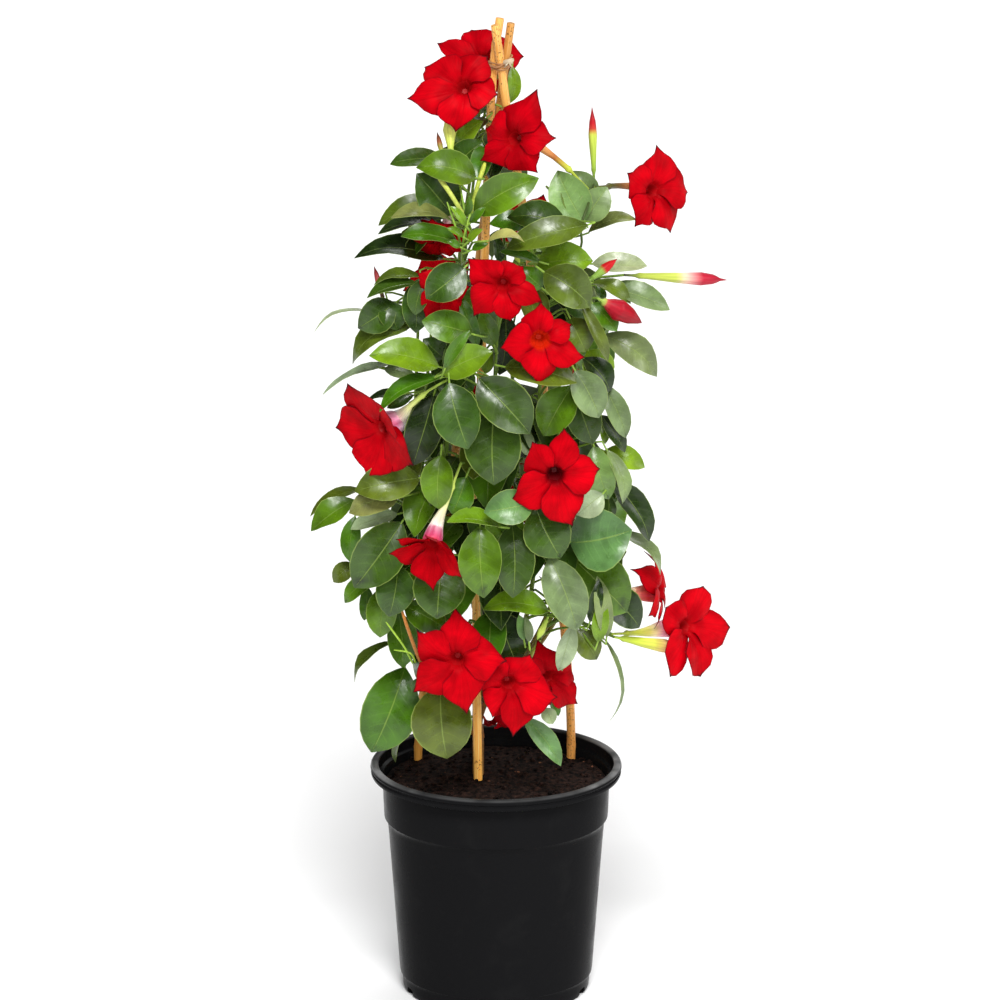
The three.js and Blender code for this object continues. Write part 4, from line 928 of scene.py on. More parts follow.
@dataclass
class PottingMix:
    """The peat: a body that fills the pot, its crumbled top, and loose crumbs on it."""

    sides: int = 96
    level: float = 194
    crumbs: int = 520
    side: list[tuple[float, float]] = field(default_factory=lambda: [
        (60, 3.6), (80.8, 3.6), (83.7, 17), (94.6, 158), (97.4, 163), (98.3, 185), (98.6, 191)])
    rings: list[float] = field(default_factory=lambda: [
        98.2, 96, 92.5, 88, 83, 78, 73, 68, 63, 58, 53, 48, 43, 38, 33, 28, 23, 18, 13, 8, 3.5, 0.8])

    def rise(self, x: float, y: float) -> float:
        """Return the height of the mix's top at a place."""
        clods = noise.noise(Vector((x / 17, y / 17, 0.7))) * 2.2 + noise.noise(Vector((x / 6, y / 6, 3.1))) * 1.5
        crumb = noise.noise(Vector((x / 2.3, y / 2.3, 5.4))) * 0.7
        radius = math.hypot(x, y)
        return self.level + clods + crumb + 1.2 * math.cos(radius / 99 * 1.5) - 2.2 * max(0.0, radius - 90) / 9

    def build(self) -> None:
        """Model the body and the crumbs."""
        draw = random.Random(11)
        section = [*self.side, *[(radius, 0.0) for radius in self.rings]]
        tube = Tube.of(self.sides, len(section))
        corners = np.empty((len(tube.ring), 3))
        for i, (ring, angle) in enumerate(zip(tube.ring, tube.angle)):
            radius, height = section[ring]
            x, y = radius * math.cos(angle), radius * math.sin(angle)
            corners[i] = (x, y, height or self.rise(x, y))
        body = tube.copy("mix", corners, vector(1, 1, 1))
        finish = PeatFinish().make()
        joined("potting_mix", [body], finish, ["potting_soil"], 60)
        deselect()
        bpy.ops.mesh.primitive_ico_sphere_add(subdivisions=1, radius=1)
        crumb = Template()
        crumb.piece = bpy.context.object
        shape = corners_of(crumb.piece)
        copies = []
        for _ in range(self.crumbs):
            reach, angle = 96 * math.sqrt(draw.random()), draw.uniform(0, 2 * math.pi)
            x, y = reach * math.cos(angle), reach * math.sin(angle)
            size = draw.choice([0.7, 0.9, 1.2, 1.6, 2.3]) * draw.uniform(0.8, 1.2)
            knobs = np.array([[draw.uniform(0.6, 1.25)] for _ in shape])
            stretch = vector(draw.uniform(0.8, 1.5), draw.uniform(0.7, 1.2), draw.uniform(0.5, 0.9))
            spot = vector(x, y, self.rise(x, y) + 0.25 * size)
            pale = draw.random() < 0.1
            tint = vector(6.5, 5.4, 4.2) if pale else vector(1, 1, 1) * draw.uniform(0.7, 1.6)
            copies.append(crumb.copy("crumb", spot + shape * knobs * stretch * size * (0.6 if pale else 1), tint))
        crumb.drop()
        joined("soil_crumbs", copies, finish, ["potting_soil"], 20)


# ---- Canes and tie ----


@dataclass
class BambooCane:
    """One cane: slightly uneven, with swollen nodes and cut ends.

    `foot` is its point in the soil, and `way` the (column, row, depth) points up to its top. `low` and `high` tint its
    lower and upper end: painted light that brightens the front cane's lower part where the foliage shades it, and
    painted shade low on the right cane and all along the left one.
    """

    name: str
    foot: tuple[float, float, float]
    way: list[tuple[float, float, float]]
    seed: int
    radius: float = 3.9
    low: tuple[float, float, float] = (1.52, 1.42, 1.2)
    high: tuple[float, float, float] = (1.05, 0.96, 0.94)
    rings: int = 150
    sides: int = 20

    def __post_init__(self) -> None:
        """Lay the cane's path."""
        self.path = Path([vector(*self.foot), *[GRID.place(*point) for point in self.way]])

    def at_height(self, height: float) -> np.ndarray:
        """Return the point of the cane's middle at a height."""
        shares = np.linspace(0, 1, 2001)
        return self.path.at(float(np.interp(height, self.path.at(shares)[:, 2], shares)))

    def build(self, finish: bpy.types.Material) -> None:
        """Model the cane.

        Args:
            finish: the bamboo material.
        """
        draw = random.Random(self.seed)
        shares = np.linspace(0, 1, self.rings)
        spots = shares * self.path.length
        radii = self.radius * (1.02 - 0.08 * shares)
        knot = draw.uniform(30, 70)
        while knot < self.path.length - 20:
            gap = spots - knot
            radii = radii + 0.5 * np.exp(-((gap / 2.6) ** 2)) - 0.35 * np.exp(-(((gap - 4.2) / 1.6) ** 2))
            knot += draw.uniform(95, 135)
        radii[[0, -1]] *= 0.93
        shares[-2] = shares[-1] - 0.5 / self.path.length
        tube = Tube.of(self.sides, self.rings)
        # Painted light and shade: each channel of the tint runs from `low` near the foot to `high` near the top.
        tints = np.stack([np.interp(shares, [0.1, 0.9], pair) for pair in zip(self.low, self.high)], axis=1)
        cane = tube.along(self.name, self.path, shares, radii, tints)
        joined(self.name + "_bamboo", [cane], finish, [self.name], 40)


@dataclass
class RaffiaTie:
    """The tie: strands wound round the three canes, one that crosses them, and a flat knot with two ends."""

    canes: list[BambooCane]
    height: float = 843
    turns: int = 4
    strand: float = 0.75

    def loop(self, height: float, off: float, tilt: float, phase: float) -> list[np.ndarray]:
        """Return a loop round all the canes.

        Args:
            height: where it lies.
            off: how far its middle is outside the canes.
            tilt: how much it rises from one side to the other.
            phase: where it is highest, in radians.

        Returns:
            Points all the way round, a little more than once.
        """
        centres = [cane.at_height(height) for cane in self.canes]
        points = []
        for degrees in range(60, 451, 15):
            angle = math.radians(degrees)
            way = vector(math.cos(angle), math.sin(angle), 0)
            outer = max(centres, key=lambda centre: float(np.dot(centre, way)))
            spot = outer + (self.canes[0].radius + off) * way
            points.append(vector(spot[0], spot[1], height + tilt * math.cos(angle - phase)))
        return points

    def build(self) -> None:
        """Wind the strands and tie the knot."""
        draw = random.Random(5)
        tube = Tube.of(8, 60)
        shares = np.linspace(0, 1, 60)
        strands = []
        for turn in range(self.turns):
            height = self.height - 2.7 + 1.7 * turn
            path = Path(self.loop(height, 0.7, draw.uniform(-1.2, 1.2), draw.uniform(0, 6)), 4)
            radii = self.strand * (1 + 0.2 * np.sin(shares * draw.uniform(20, 40)))
            strands.append(tube.along("strand", path, shares, radii, vector(*linear(0xBC8C64)), flat=0.8))
        path = Path(self.loop(self.height + 3, 1.3, 3.6, 0.5), 4)
        strands.append(tube.along("strand", path, shares, np.full(60, 0.8), vector(*linear(0xBC8C64)), flat=0.7))
        cream = vector(*linear(0xCDC0AC))
        knot = GRID.place(508.5, 62.5, -12.5)
        for first, last, wide in (((-4.4, 2.6, -0.8), (4.4, 3.0, 1.8), 1.9), ((-3.0, 2.0, 1.2), (3.4, 2.4, -1.5), 1.4),
                                  ((0.5, 0, -0.5), (3.6, 1.6, -5.6), 0.9), ((0, 0.2, 0), (-3.8, 1.4, -4.6), 0.8)):
            ends = knot + vector(*first), knot + vector(*last)
            middle = (ends[0] + ends[1]) / 2 + vector(0, -2.2, 0.3)
            radii = wide * np.interp(shares, [0, 0.1, 0.5, 0.9, 1], [0.75, 1, 1.05, 0.95, 0.6])
            strands.append(tube.along("knot", Path([ends[0], middle, ends[1]]), shares, radii, cream,
                                      vector(0, 0.1, 1), 0.45))
        joined("raffia_tie", strands, RaffiaFinish().make(), ["cane_tie"], 50)


CANES = [
    BambooCane("cane_front", (-15.5, -9, 36),
               [(478, 782, -10), (476.5, 612, -8), (486, 220, 0), (494, 62, 4), (500, 18, 6)], 3),
    BambooCane("cane_left", (-54, 44, 36),
               [(418, 758, 55), (440, 580, 47), (484, 220, 20), (505, 66, 9), (511, 23, 7)], 8,
               radius=3.7, low=(1.05, 0.86, 0.6), high=(0.72, 0.63, 0.6)),
    BambooCane("cane_right", (54, 50, 36),
               [(571, 754, 58), (562, 600, 45), (529, 252, 8), (507, 110, -3), (501, 66, -5), (495, 25, -7)], 12,
               low=(0.98, 0.78, 0.72)),
]


# ---- Leaves ----


class Tone(Enum):
    """How a leaf reads: its colour by its age and by the side that it shows, and for some tones the light on it. SKYLIT
    is a painted sky reflection, PALE and BLUISH are partly painted sheen, and SHADED is painted shade.
    """

    FRESH = "F"
    BRIGHT = "B"
    MIDDLE = "M"
    OLIVE = "O"
    DARK = "D"
    SHADED = "K"
    PALE = "P"
    SKYLIT = "S"
    BLUISH = "L"
    COOL = "C"
    YELLOWISH = "Y"
    BROWNISH = "G"
    TAN = "T"

    @property
    def colour(self) -> np.ndarray:
        """The tone's linear colour."""
        return vector(*linear(TONE_CODES[self.value]))


TONE_CODES = {"F": 0x678812, "B": 0x4B6C0C, "M": 0x3F670A, "O": 0x4F5F16, "D": 0x314B11, "K": 0x1E300C,
              "P": 0x6A7B4B, "S": 0x93A279, "L": 0x6B8D4A, "Y": 0x737A40, "G": 0x484C29, "T": 0x9C9A58,
              "C": 0x52743F}
ACROSS = [-1, -0.55, 0, 0.55, 1]
ALONG = [0, 0.05, 0.13, 0.25, 0.38, 0.52, 0.66, 0.79, 0.89, 0.955, 1]
HALF_WIDTHS = [0.03, 0.27, 0.57, 0.84, 0.97, 1, 0.92, 0.74, 0.48, 0.22, 0.02]
# Painted shade in the blades' tint: how much cover darkens them, how much one half is darker than the other, and how
# much more red and blue darken than green.
COVERED_SHADE = 0.78
HALF_SHADE = 0.16
SHADE_BY_CHANNEL = vector(1.15, 1, 1.1)


@dataclass
class Leaf:
    """One leaf: its base, its tip, the way its upper side faces, its width and its tone."""

    base: np.ndarray
    tip: np.ndarray
    normal: np.ndarray
    width: float
    tone: Tone
    seed: int

    @classmethod
    def laid(cls, row: tuple, seed: int) -> "Leaf":
        """Return the leaf of a row of the layout."""
        base_column, base_row, tip_column, tip_row, width, turn, layer, lean, tone = row
        depth = GRID.depth((base_column + tip_column) / 2, (base_row + tip_row) / 2, layer)
        base = GRID.place(base_column, base_row, depth + lean / 2)
        tip = GRID.place(tip_column, tip_row, depth - lean / 2)
        along = unit(tip - base)
        facing = unit(GRID.to_viewer - along * np.dot(GRID.to_viewer, along))
        side = np.cross(along, facing)
        if (side[0] if abs(side[2]) < 0.25 else side[2]) < 0:
            side = -side
        angle = math.radians(turn)
        return cls(base, tip, facing * math.cos(angle) + side * math.sin(angle), width, Tone(tone), seed)

    def turned(self, drop: float) -> "Leaf":
        """Return the leaf turned half round the plant's axis and let down by `drop`."""
        half = vector(-1, -1, 1)
        down = vector(0, 0, -drop)
        return Leaf(self.base * half + down, self.tip * half + down, self.normal * half, self.width, self.tone,
                    self.seed + 1000)

    @property
    def length(self) -> float:
        """The distance from base to tip."""
        return float(np.linalg.norm(self.tip - self.base))

    def is_hidden(self) -> bool:
        """Tell whether the leaf stays inside the outline that the plant shows from the front."""
        windows = WINDOWS if self.tip[1] > 0 else WINDOWS + FRONT_WINDOWS
        wide = abs(unit(np.cross(self.tip - self.base, self.normal))[0])
        for share in (0, 0.25, 0.5, 0.75, 1):
            column, row = GRID.grid_of(self.base + share * (self.tip - self.base))
            margin = max(3.0, 0.45 * self.width * wide) if share % 1 else 3
            if row > LOWEST_FILLER_ROW or not (
                    between(LEFT_EDGE, row) + margin < column < between(RIGHT_EDGE, row) - margin):
                return False
            if any(left - margin < column < right + margin and top - margin < row < bottom + margin
                   for left, top, right, bottom in windows):
                return False
        return True

    def copy(self, sheet: Sheet, cover: "Cover") -> bpy.types.Object:
        """Bend a copy of the blade to this leaf.

        Args:
            sheet: the blade's template.
            cover: what lies above the blade.

        Returns:
            The copy.
        """
        draw = random.Random(self.seed)
        u, v = sheet.u, sheet.v
        along = unit(self.tip - self.base)
        normal = unit(self.normal - along * np.dot(self.normal, along))
        side = np.cross(along, normal)
        half = self.width / 2 * np.interp(v, ALONG, HALF_WIDTHS)
        fold, arch = draw.uniform(0.12, 0.38), draw.uniform(0.05, 0.14)
        curl, sway = draw.uniform(0.0, 0.14), draw.uniform(-0.05, 0.05)
        wave, phase, twist = draw.uniform(0.03, 0.14), draw.uniform(0, 6.28), draw.uniform(-0.25, 0.25)
        lift = self.length * (4 * arch * v * (1 - v) - curl * np.clip(v - 0.6, 0, 1) ** 2 / 0.16)
        turn = twist * (v - 0.4) * 2
        rise = half * (fold * np.abs(u) + 0.06 * u * u + wave * np.sin(9 * v + phase + 1.3 * np.sign(u)) * u * u)
        reach = u * half
        across = reach * np.cos(turn) - rise * np.sin(turn) + self.length * sway * 4 * v * (1 - v)
        out = reach * np.sin(turn) + rise * np.cos(turn) + lift + np.where(sheet.under > 0, -0.22, 0.22)
        corners = self.base + np.outer(v * self.length, along) + np.outer(across, side) + np.outer(out, normal)
        tint = self.tone.colour * draw.uniform(0.88, 1.12) * vector(draw.uniform(0.92, 1.08), 1, draw.uniform(0.9, 1.1))
        # Painted shade: the tint darkens where other blades and flowers cover the blade, and on one half of it.
        light = 1 - COVERED_SHADE * cover.over(corners, along, side, normal)
        light = light * (1 - HALF_SHADE * np.clip(u / 0.5, -1, 1) * np.dot(side, GRID.up))
        return sheet.copy("leaf", corners, tint * light[:, None] ** SHADE_BY_CHANNEL, sheet.under)


class Cover:
    """Coarse blades and flowers, which tell how much of the light at a spot the others keep away."""

    reach = 55.0
    rays = [(0.25, 0.6), (0.25, 2.7), (0.25, 4.8), (0.75, 0), (0.75, 1.57), (0.75, 3.14), (0.75, 4.71),
            (1.15, 0.8), (1.15, 2.37), (1.15, 3.94), (1.15, 5.5)]

    def __init__(self, leaves: list[Leaf]) -> None:
        """Lay a four-cornered face for each leaf and a five-cornered one for each flower."""
        spots, faces = [], []
        for leaf in leaves:
            along = unit(leaf.tip - leaf.base)
            side = 0.42 * leaf.width * unit(np.cross(along, leaf.normal))
            middle = leaf.base + 0.45 * (leaf.tip - leaf.base)
            faces.append(range(len(spots), len(spots) + 4))
            spots += [leaf.base, middle + side, leaf.tip, middle - side]
        for flower in FLOWERS:
            faces.append(range(len(spots), len(spots) + PETALS))
            spots += [flower.mouth + 0.9 * radius * (math.cos(angle) * flower.normal + math.sin(angle) * flower.binormal)
                      for radius, angle in flower.reach]
        self.tree = BVHTree.FromPolygons([tuple(spot) for spot in spots], [tuple(face) for face in faces])

    def over(self, corners: np.ndarray, along: np.ndarray, side: np.ndarray, normal: np.ndarray) -> np.ndarray:
        """Return the share of the light that the others keep away from each corner.

        Args:
            corners: points on a blade.
            along: the way from its base to its tip.
            side: the way across it.
            normal: the way that its upper side faces.

        Returns:
            A share for each corner, from 0 to 1.
        """
        ways = [Vector(math.cos(tilt) * normal + math.sin(tilt) * (math.cos(turn) * along + math.sin(turn) * side))
                for tilt, turn in self.rays]
        shares = []
        for corner in corners + 2.5 * normal:
            start = Vector(corner)
            hits = [self.tree.ray_cast(start, way, self.reach)[3] for way in ways]
            shares.append(sum(1 - gap / self.reach for gap in hits if gap is not None) / len(ways))
        return np.array(shares)


def filler_leaves(count: int, inner: float, reach: float, tones: str, seed: int, flanks: bool = False) -> list[Leaf]:
    """Lay leaves on a spiral that climbs round the axis, or hang them on both flanks.

    Args:
        count: how many.
        inner: where their bases are, as a share of the canopy's radius.
        reach: their length, as a share of it.
        tones: the letters of the tones to draw from.
        seed: the seed of their small differences.
        flanks: whether they hang on the flanks.

    Returns:
        The leaves.
    """
    draw = random.Random(seed)
    leaves = []
    for order in range(count):
        row = 660 - 550 * order / (count - 1)
        angle = order * math.pi * (3 - math.sqrt(5)) + draw.uniform(-0.3, 0.3)
        if flanks:
            angle = math.pi * (order % 2) + draw.uniform(-0.7, 0.7)
        out = vector(math.cos(angle), math.sin(angle), 0)
        radius = between(CANOPY, row)
        base = inner * radius * out
        base[2] = GRID.place(GRID.axis_column, row, 0)[2]
        length = min(62.0, max(34.0, reach * radius))
        outward, down, rise = (0.35, (0.7, 0.95), 0.1) if flanks else (0.8, (0.35, 0.75), 0.8)
        tip = base + outward * length * out + vector(0, 0, -draw.uniform(*down) * length)
        normal = out * 0.6 + vector(draw.uniform(-0.3, 0.3), draw.uniform(-0.3, 0.3), rise)
        tone = Tone(draw.choice(tones))
        leaves.append(Leaf(base, tip, unit(normal), 0.6 * length, tone, seed * 1000 + order))
    return leaves


def all_leaves() -> list[Leaf]:
    """Return every leaf: those laid out at the front, their like at the back, and those inside."""
    front = [Leaf.laid(row, order) for order, row in enumerate(LEAVES)]
    inner = []
    for leaf in front:
        middle = (leaf.base + leaf.tip) / 2
        column, row = GRID.grid_of(middle)
        if middle[1] < 0 and abs(column - GRID.axis_column) * GRID.step < 0.74 * between(CANOPY, row):
            inner.append(leaf.turned(8))
    more = [*filler_leaves(38, 0.42, 0.45, "KKDDM", 2), *filler_leaves(70, 0.5, 0.44, "KDDDMMMOB", 3),
            *filler_leaves(90, 0.24, 0.42, "KKKD", 4), *filler_leaves(110, 0.6, 0.38, "DDMMOB", 5),
            *filler_leaves(150, 0.56, 0.4, "DDMMOB", 6, True), *filler_leaves(110, 0.76, 0.38, "DMMOB", 7, True)]
    return [*front, *[leaf for leaf in [*inner, *more] if leaf.is_hidden()]]


# ---- Shoots ----

CROWN_TOP = 250
STEM_ROOT = 176


@dataclass
class Shoot:
    """One shoot: its stem, and the twigs, leaf stalks and leaves that grow from it."""

    name: str
    azimuth: float
    top: float
    order: int
    leaves: list[Leaf] = field(default_factory=list)
    stalks: list[bpy.types.Object] = field(default_factory=list)

    def __post_init__(self) -> None:
        """Lay the stem's path."""
        foot = vector(-16 + (2.4 if self.order % 2 else -2.4), 9 + 10 * (self.order // 2), STEM_ROOT)
        points = [foot, vector(foot[0], foot[1], (STEM_ROOT + CROWN_TOP) / 2), vector(foot[0], foot[1], CROWN_TOP)]
        heights = [CROWN_TOP + 60, CROWN_TOP + 130, (CROWN_TOP + 130 + self.top) / 2, self.top]
        for step, height in enumerate(heights):
            _, row = GRID.grid_of(vector(0, 0, height))
            radius = 0.48 * between(CANOPY, row) * (0.55 if step == 0 else 1)
            angle = math.radians(self.azimuth + 18 * step / 3)
            points.append(vector(radius * math.cos(angle), radius * math.sin(angle), height))
        self.path = Path(points)
        self.spots = self.path.at(np.linspace(0, 1, 41))

    def stalk(self, spot: np.ndarray, end: np.ndarray, way: np.ndarray | None, radii: tuple[float, float],
              codes: tuple[int, int]) -> None:
        """Grow a stalk from the stem.

        Args:
            spot: where it leaves the stem.
            end: where it ends.
            way: the way it points there, or None.
            radii: its radius at the stem and at its end.
            codes: its colour there, as sRGB hex.
        """
        gap = float(np.linalg.norm(end - spot))
        out = unit(unit(end - spot) + vector(0, 0, 0.5))
        points = [spot, spot + 0.3 * gap * out]
        if way is not None and gap > 6:
            points.append(end - way * min(0.3 * gap, 9))
        path = Path([*points, end], 8)
        shares = np.linspace(0, 1, 9)
        ends = [vector(*linear(code)) for code in codes]
        tints = np.outer(1 - shares, ends[0]) + np.outer(shares, ends[1])
        radii = np.interp(shares, [0, 0.12, 1], [1.35 * radii[0], radii[0], radii[1]])
        self.stalks.append(Tube.of(6, 9).along("stalk", path, shares, radii, tints))

    def trail(self, spot: np.ndarray, way: list[tuple[float, float, float]], radii: tuple[float, float],
              codes: tuple[int, int]) -> None:
        """Grow a long stem through points of the layout.

        Args:
            spot: where it leaves the shoot's own stem.
            way: its (column, row, layer) points.
            radii: its radius at both ends.
            codes: its colour there, as sRGB hex.
        """
        shares = np.linspace(0, 1, 28)
        path = Path([spot, *[GRID.layered(*point) for point in way]])
        ends = [vector(*linear(code)) for code in codes]
        tints = np.outer(1 - shares, ends[0]) + np.outer(shares, ends[1])
        thick = np.interp(shares, [0, 0.95, 1], [radii[0], radii[1], 0.6 * radii[1]])
        self.stalks.append(Tube.of(8, 28).along("trail", path, shares, thick, tints))

    def carry(self, leaf: Leaf, spot: np.ndarray) -> None:
        """Take on a leaf whose stalk grows from a spot of the stem."""
        self.leaves.append(leaf)
        end = leaf.base + 0.03 * (leaf.tip - leaf.base)
        self.stalk(spot, end, unit(leaf.tip - leaf.base), (1.15, 0.85), (0x6C8A30, 0x86A640))

    def build(self, sheet: Sheet, cover: Cover, leaf_finish: bpy.types.Material,
              stem_finish: bpy.types.Material) -> None:
        """Model the stem with its stalks, and the leaves.

        Args:
            sheet: the blade's template.
            cover: what lies above the blades.
            leaf_finish: the leaf material.
            stem_finish: the stem material.
        """
        shares = np.linspace(0, 1, 60)
        heights = self.path.at(shares)[:, 2]
        young = smooth(heights, 260, 420)[:, None]
        tints = (1 - young) * vector(*linear(0x8A6236)) + young * vector(*linear(0x6E8C30))
        radii = np.interp(shares, [0, 0.15, 1], [3.0, 2.4, 1.3]) + 0.35 * (np.sin(shares * 95) > 0.93)
        stem = Tube.of(10, 60).along("stem", self.path, shares, radii, tints)
        joined(self.name + "_stems", [stem, *self.stalks], stem_finish, [self.name], 60)
        blades = [leaf.copy(sheet, cover) for leaf in self.leaves]
        joined(self.name + "_leaves", blades, leaf_finish, [self.name], 50)


# Stems that show between the leaves: (column, row, layer) points, the radii at both ends and their colours.
TRAILS = [
    ([(482, 742, -0.15), (454, 706, 0.3), (424, 669, 0.8), (408, 629, 0.95), (401, 608, 0.9)], (2.0, 1.5),
     (0x9A6434, 0xC07C3A)),
    ([(470, 216, 0.7), (477, 188, 0.75), (485, 163, 0.7)], (1.4, 2.1), (0x8CAA3C, 0xC2CC4E)),
    ([(462, 212, 0.9), (450, 193, 1.0), (438, 176, 1.02)], (1.3, 2.2), (0x8AAA3C, 0xC8D060)),
    ([(463, 252, 0.6), (456, 228, 0.9), (447, 202, 0.95)], (1.3, 0.9), (0x7EA838, 0x8CB040)),
    ([(466, 250, 0.6), (465, 216, 0.85), (458, 176, 0.75)], (1.2, 0.9), (0x6F9A34, 0x86A83A)),
    ([(462, 256, 0.6), (465, 232, 0.85), (473, 205, 0.85)], (1.2, 0.9), (0x86AE3A, 0x9ABC48)),
    ([(580, 248, 0.6), (581, 226, 0.68), (588, 205, 0.72), (594, 184, 0.6)], (1.3, 1.0), (0x465A24, 0x3A4A1E)),
    ([(420, 670, 0.8), (403, 645, 0.97), (386, 622, 1.0)], (1.1, 0.9), (0x7EA034, 0x9CC040)),
    ([(420, 668, 0.8), (410, 653, 0.95), (394, 650, 1.0)], (1.1, 0.8), (0x7EA034, 0x9CC040)),
]
AZIMUTHS_AND_TOPS = [(254, 640), (290, 700), (322, 610), (354, 720), (24, 600), (66, 690), (110, 800), (158, 620),
                     (196, 640), (224, 750)]
CROWN_ORDER = [0, 1, 3, 5, 7, 9, 8, 6, 4, 2]


@dataclass
class Shoots:
    """All the shoots, and what grows from which."""

    shoots: list[Shoot] = field(default_factory=lambda: [
        Shoot(f"vine_{i + 1:02d}", *AZIMUTHS_AND_TOPS[i], CROWN_ORDER[i]) for i in range(10)])

    def root_of(self, end: np.ndarray) -> tuple[Shoot, np.ndarray]:
        """Return the shoot, and the point on it, that a stalk to `end` best grows from."""
        best = (math.inf, self.shoots[0], end)
        for shoot in self.shoots:
            for spot in shoot.spots:
                if spot[2] < CROWN_TOP - 10:
                    continue
                level = math.hypot(end[0] - spot[0], end[1] - spot[1])
                rise = end[2] - spot[2]
                cost = level + abs(rise) + 1.2 * abs(rise - 0.5 * level)
                if cost < best[0]:
                    best = (cost, shoot, spot)
        return best[1], best[2]

    def build(self) -> None:
        """Model every shoot."""
        leaves = all_leaves()
        for leaf in leaves:
            shoot, spot = self.root_of(leaf.base)
            shoot.carry(leaf, spot)
        for way, radii, codes in TRAILS:
            shoot, spot = self.root_of(GRID.layered(*way[0]))
            shoot.trail(spot, way, radii, codes)
        sheet, cover = Sheet(ACROSS, ALONG), Cover(leaves)
        leaf_finish, stem_finish = LeafFinish().make(), StemFinish().make()
        for shoot in self.shoots:
            shoot.build(sheet, cover, leaf_finish, stem_finish)
        sheet.drop()


# ---- Flowers and buds ----

PETALS = 5
THROAT = 7.2
THROAT_DEPTH = 24
RED = 0xB2000D
PINK_TO_LIME = [(0, 0xC81430), (8, 0xC63A5E), (15, 0xE6A6B4), (22, 0xF4E8D4), (32, 0xECE6A6), (45, 0xC6D05C),
                (62, 0xA9C048), (84, 0x74963A)]
LIME = [(0, 0xC81430), (12, 0xE8DCA0), (28, 0xDFDC7C), (50, 0xBACB50), (80, 0x8CAA40)]


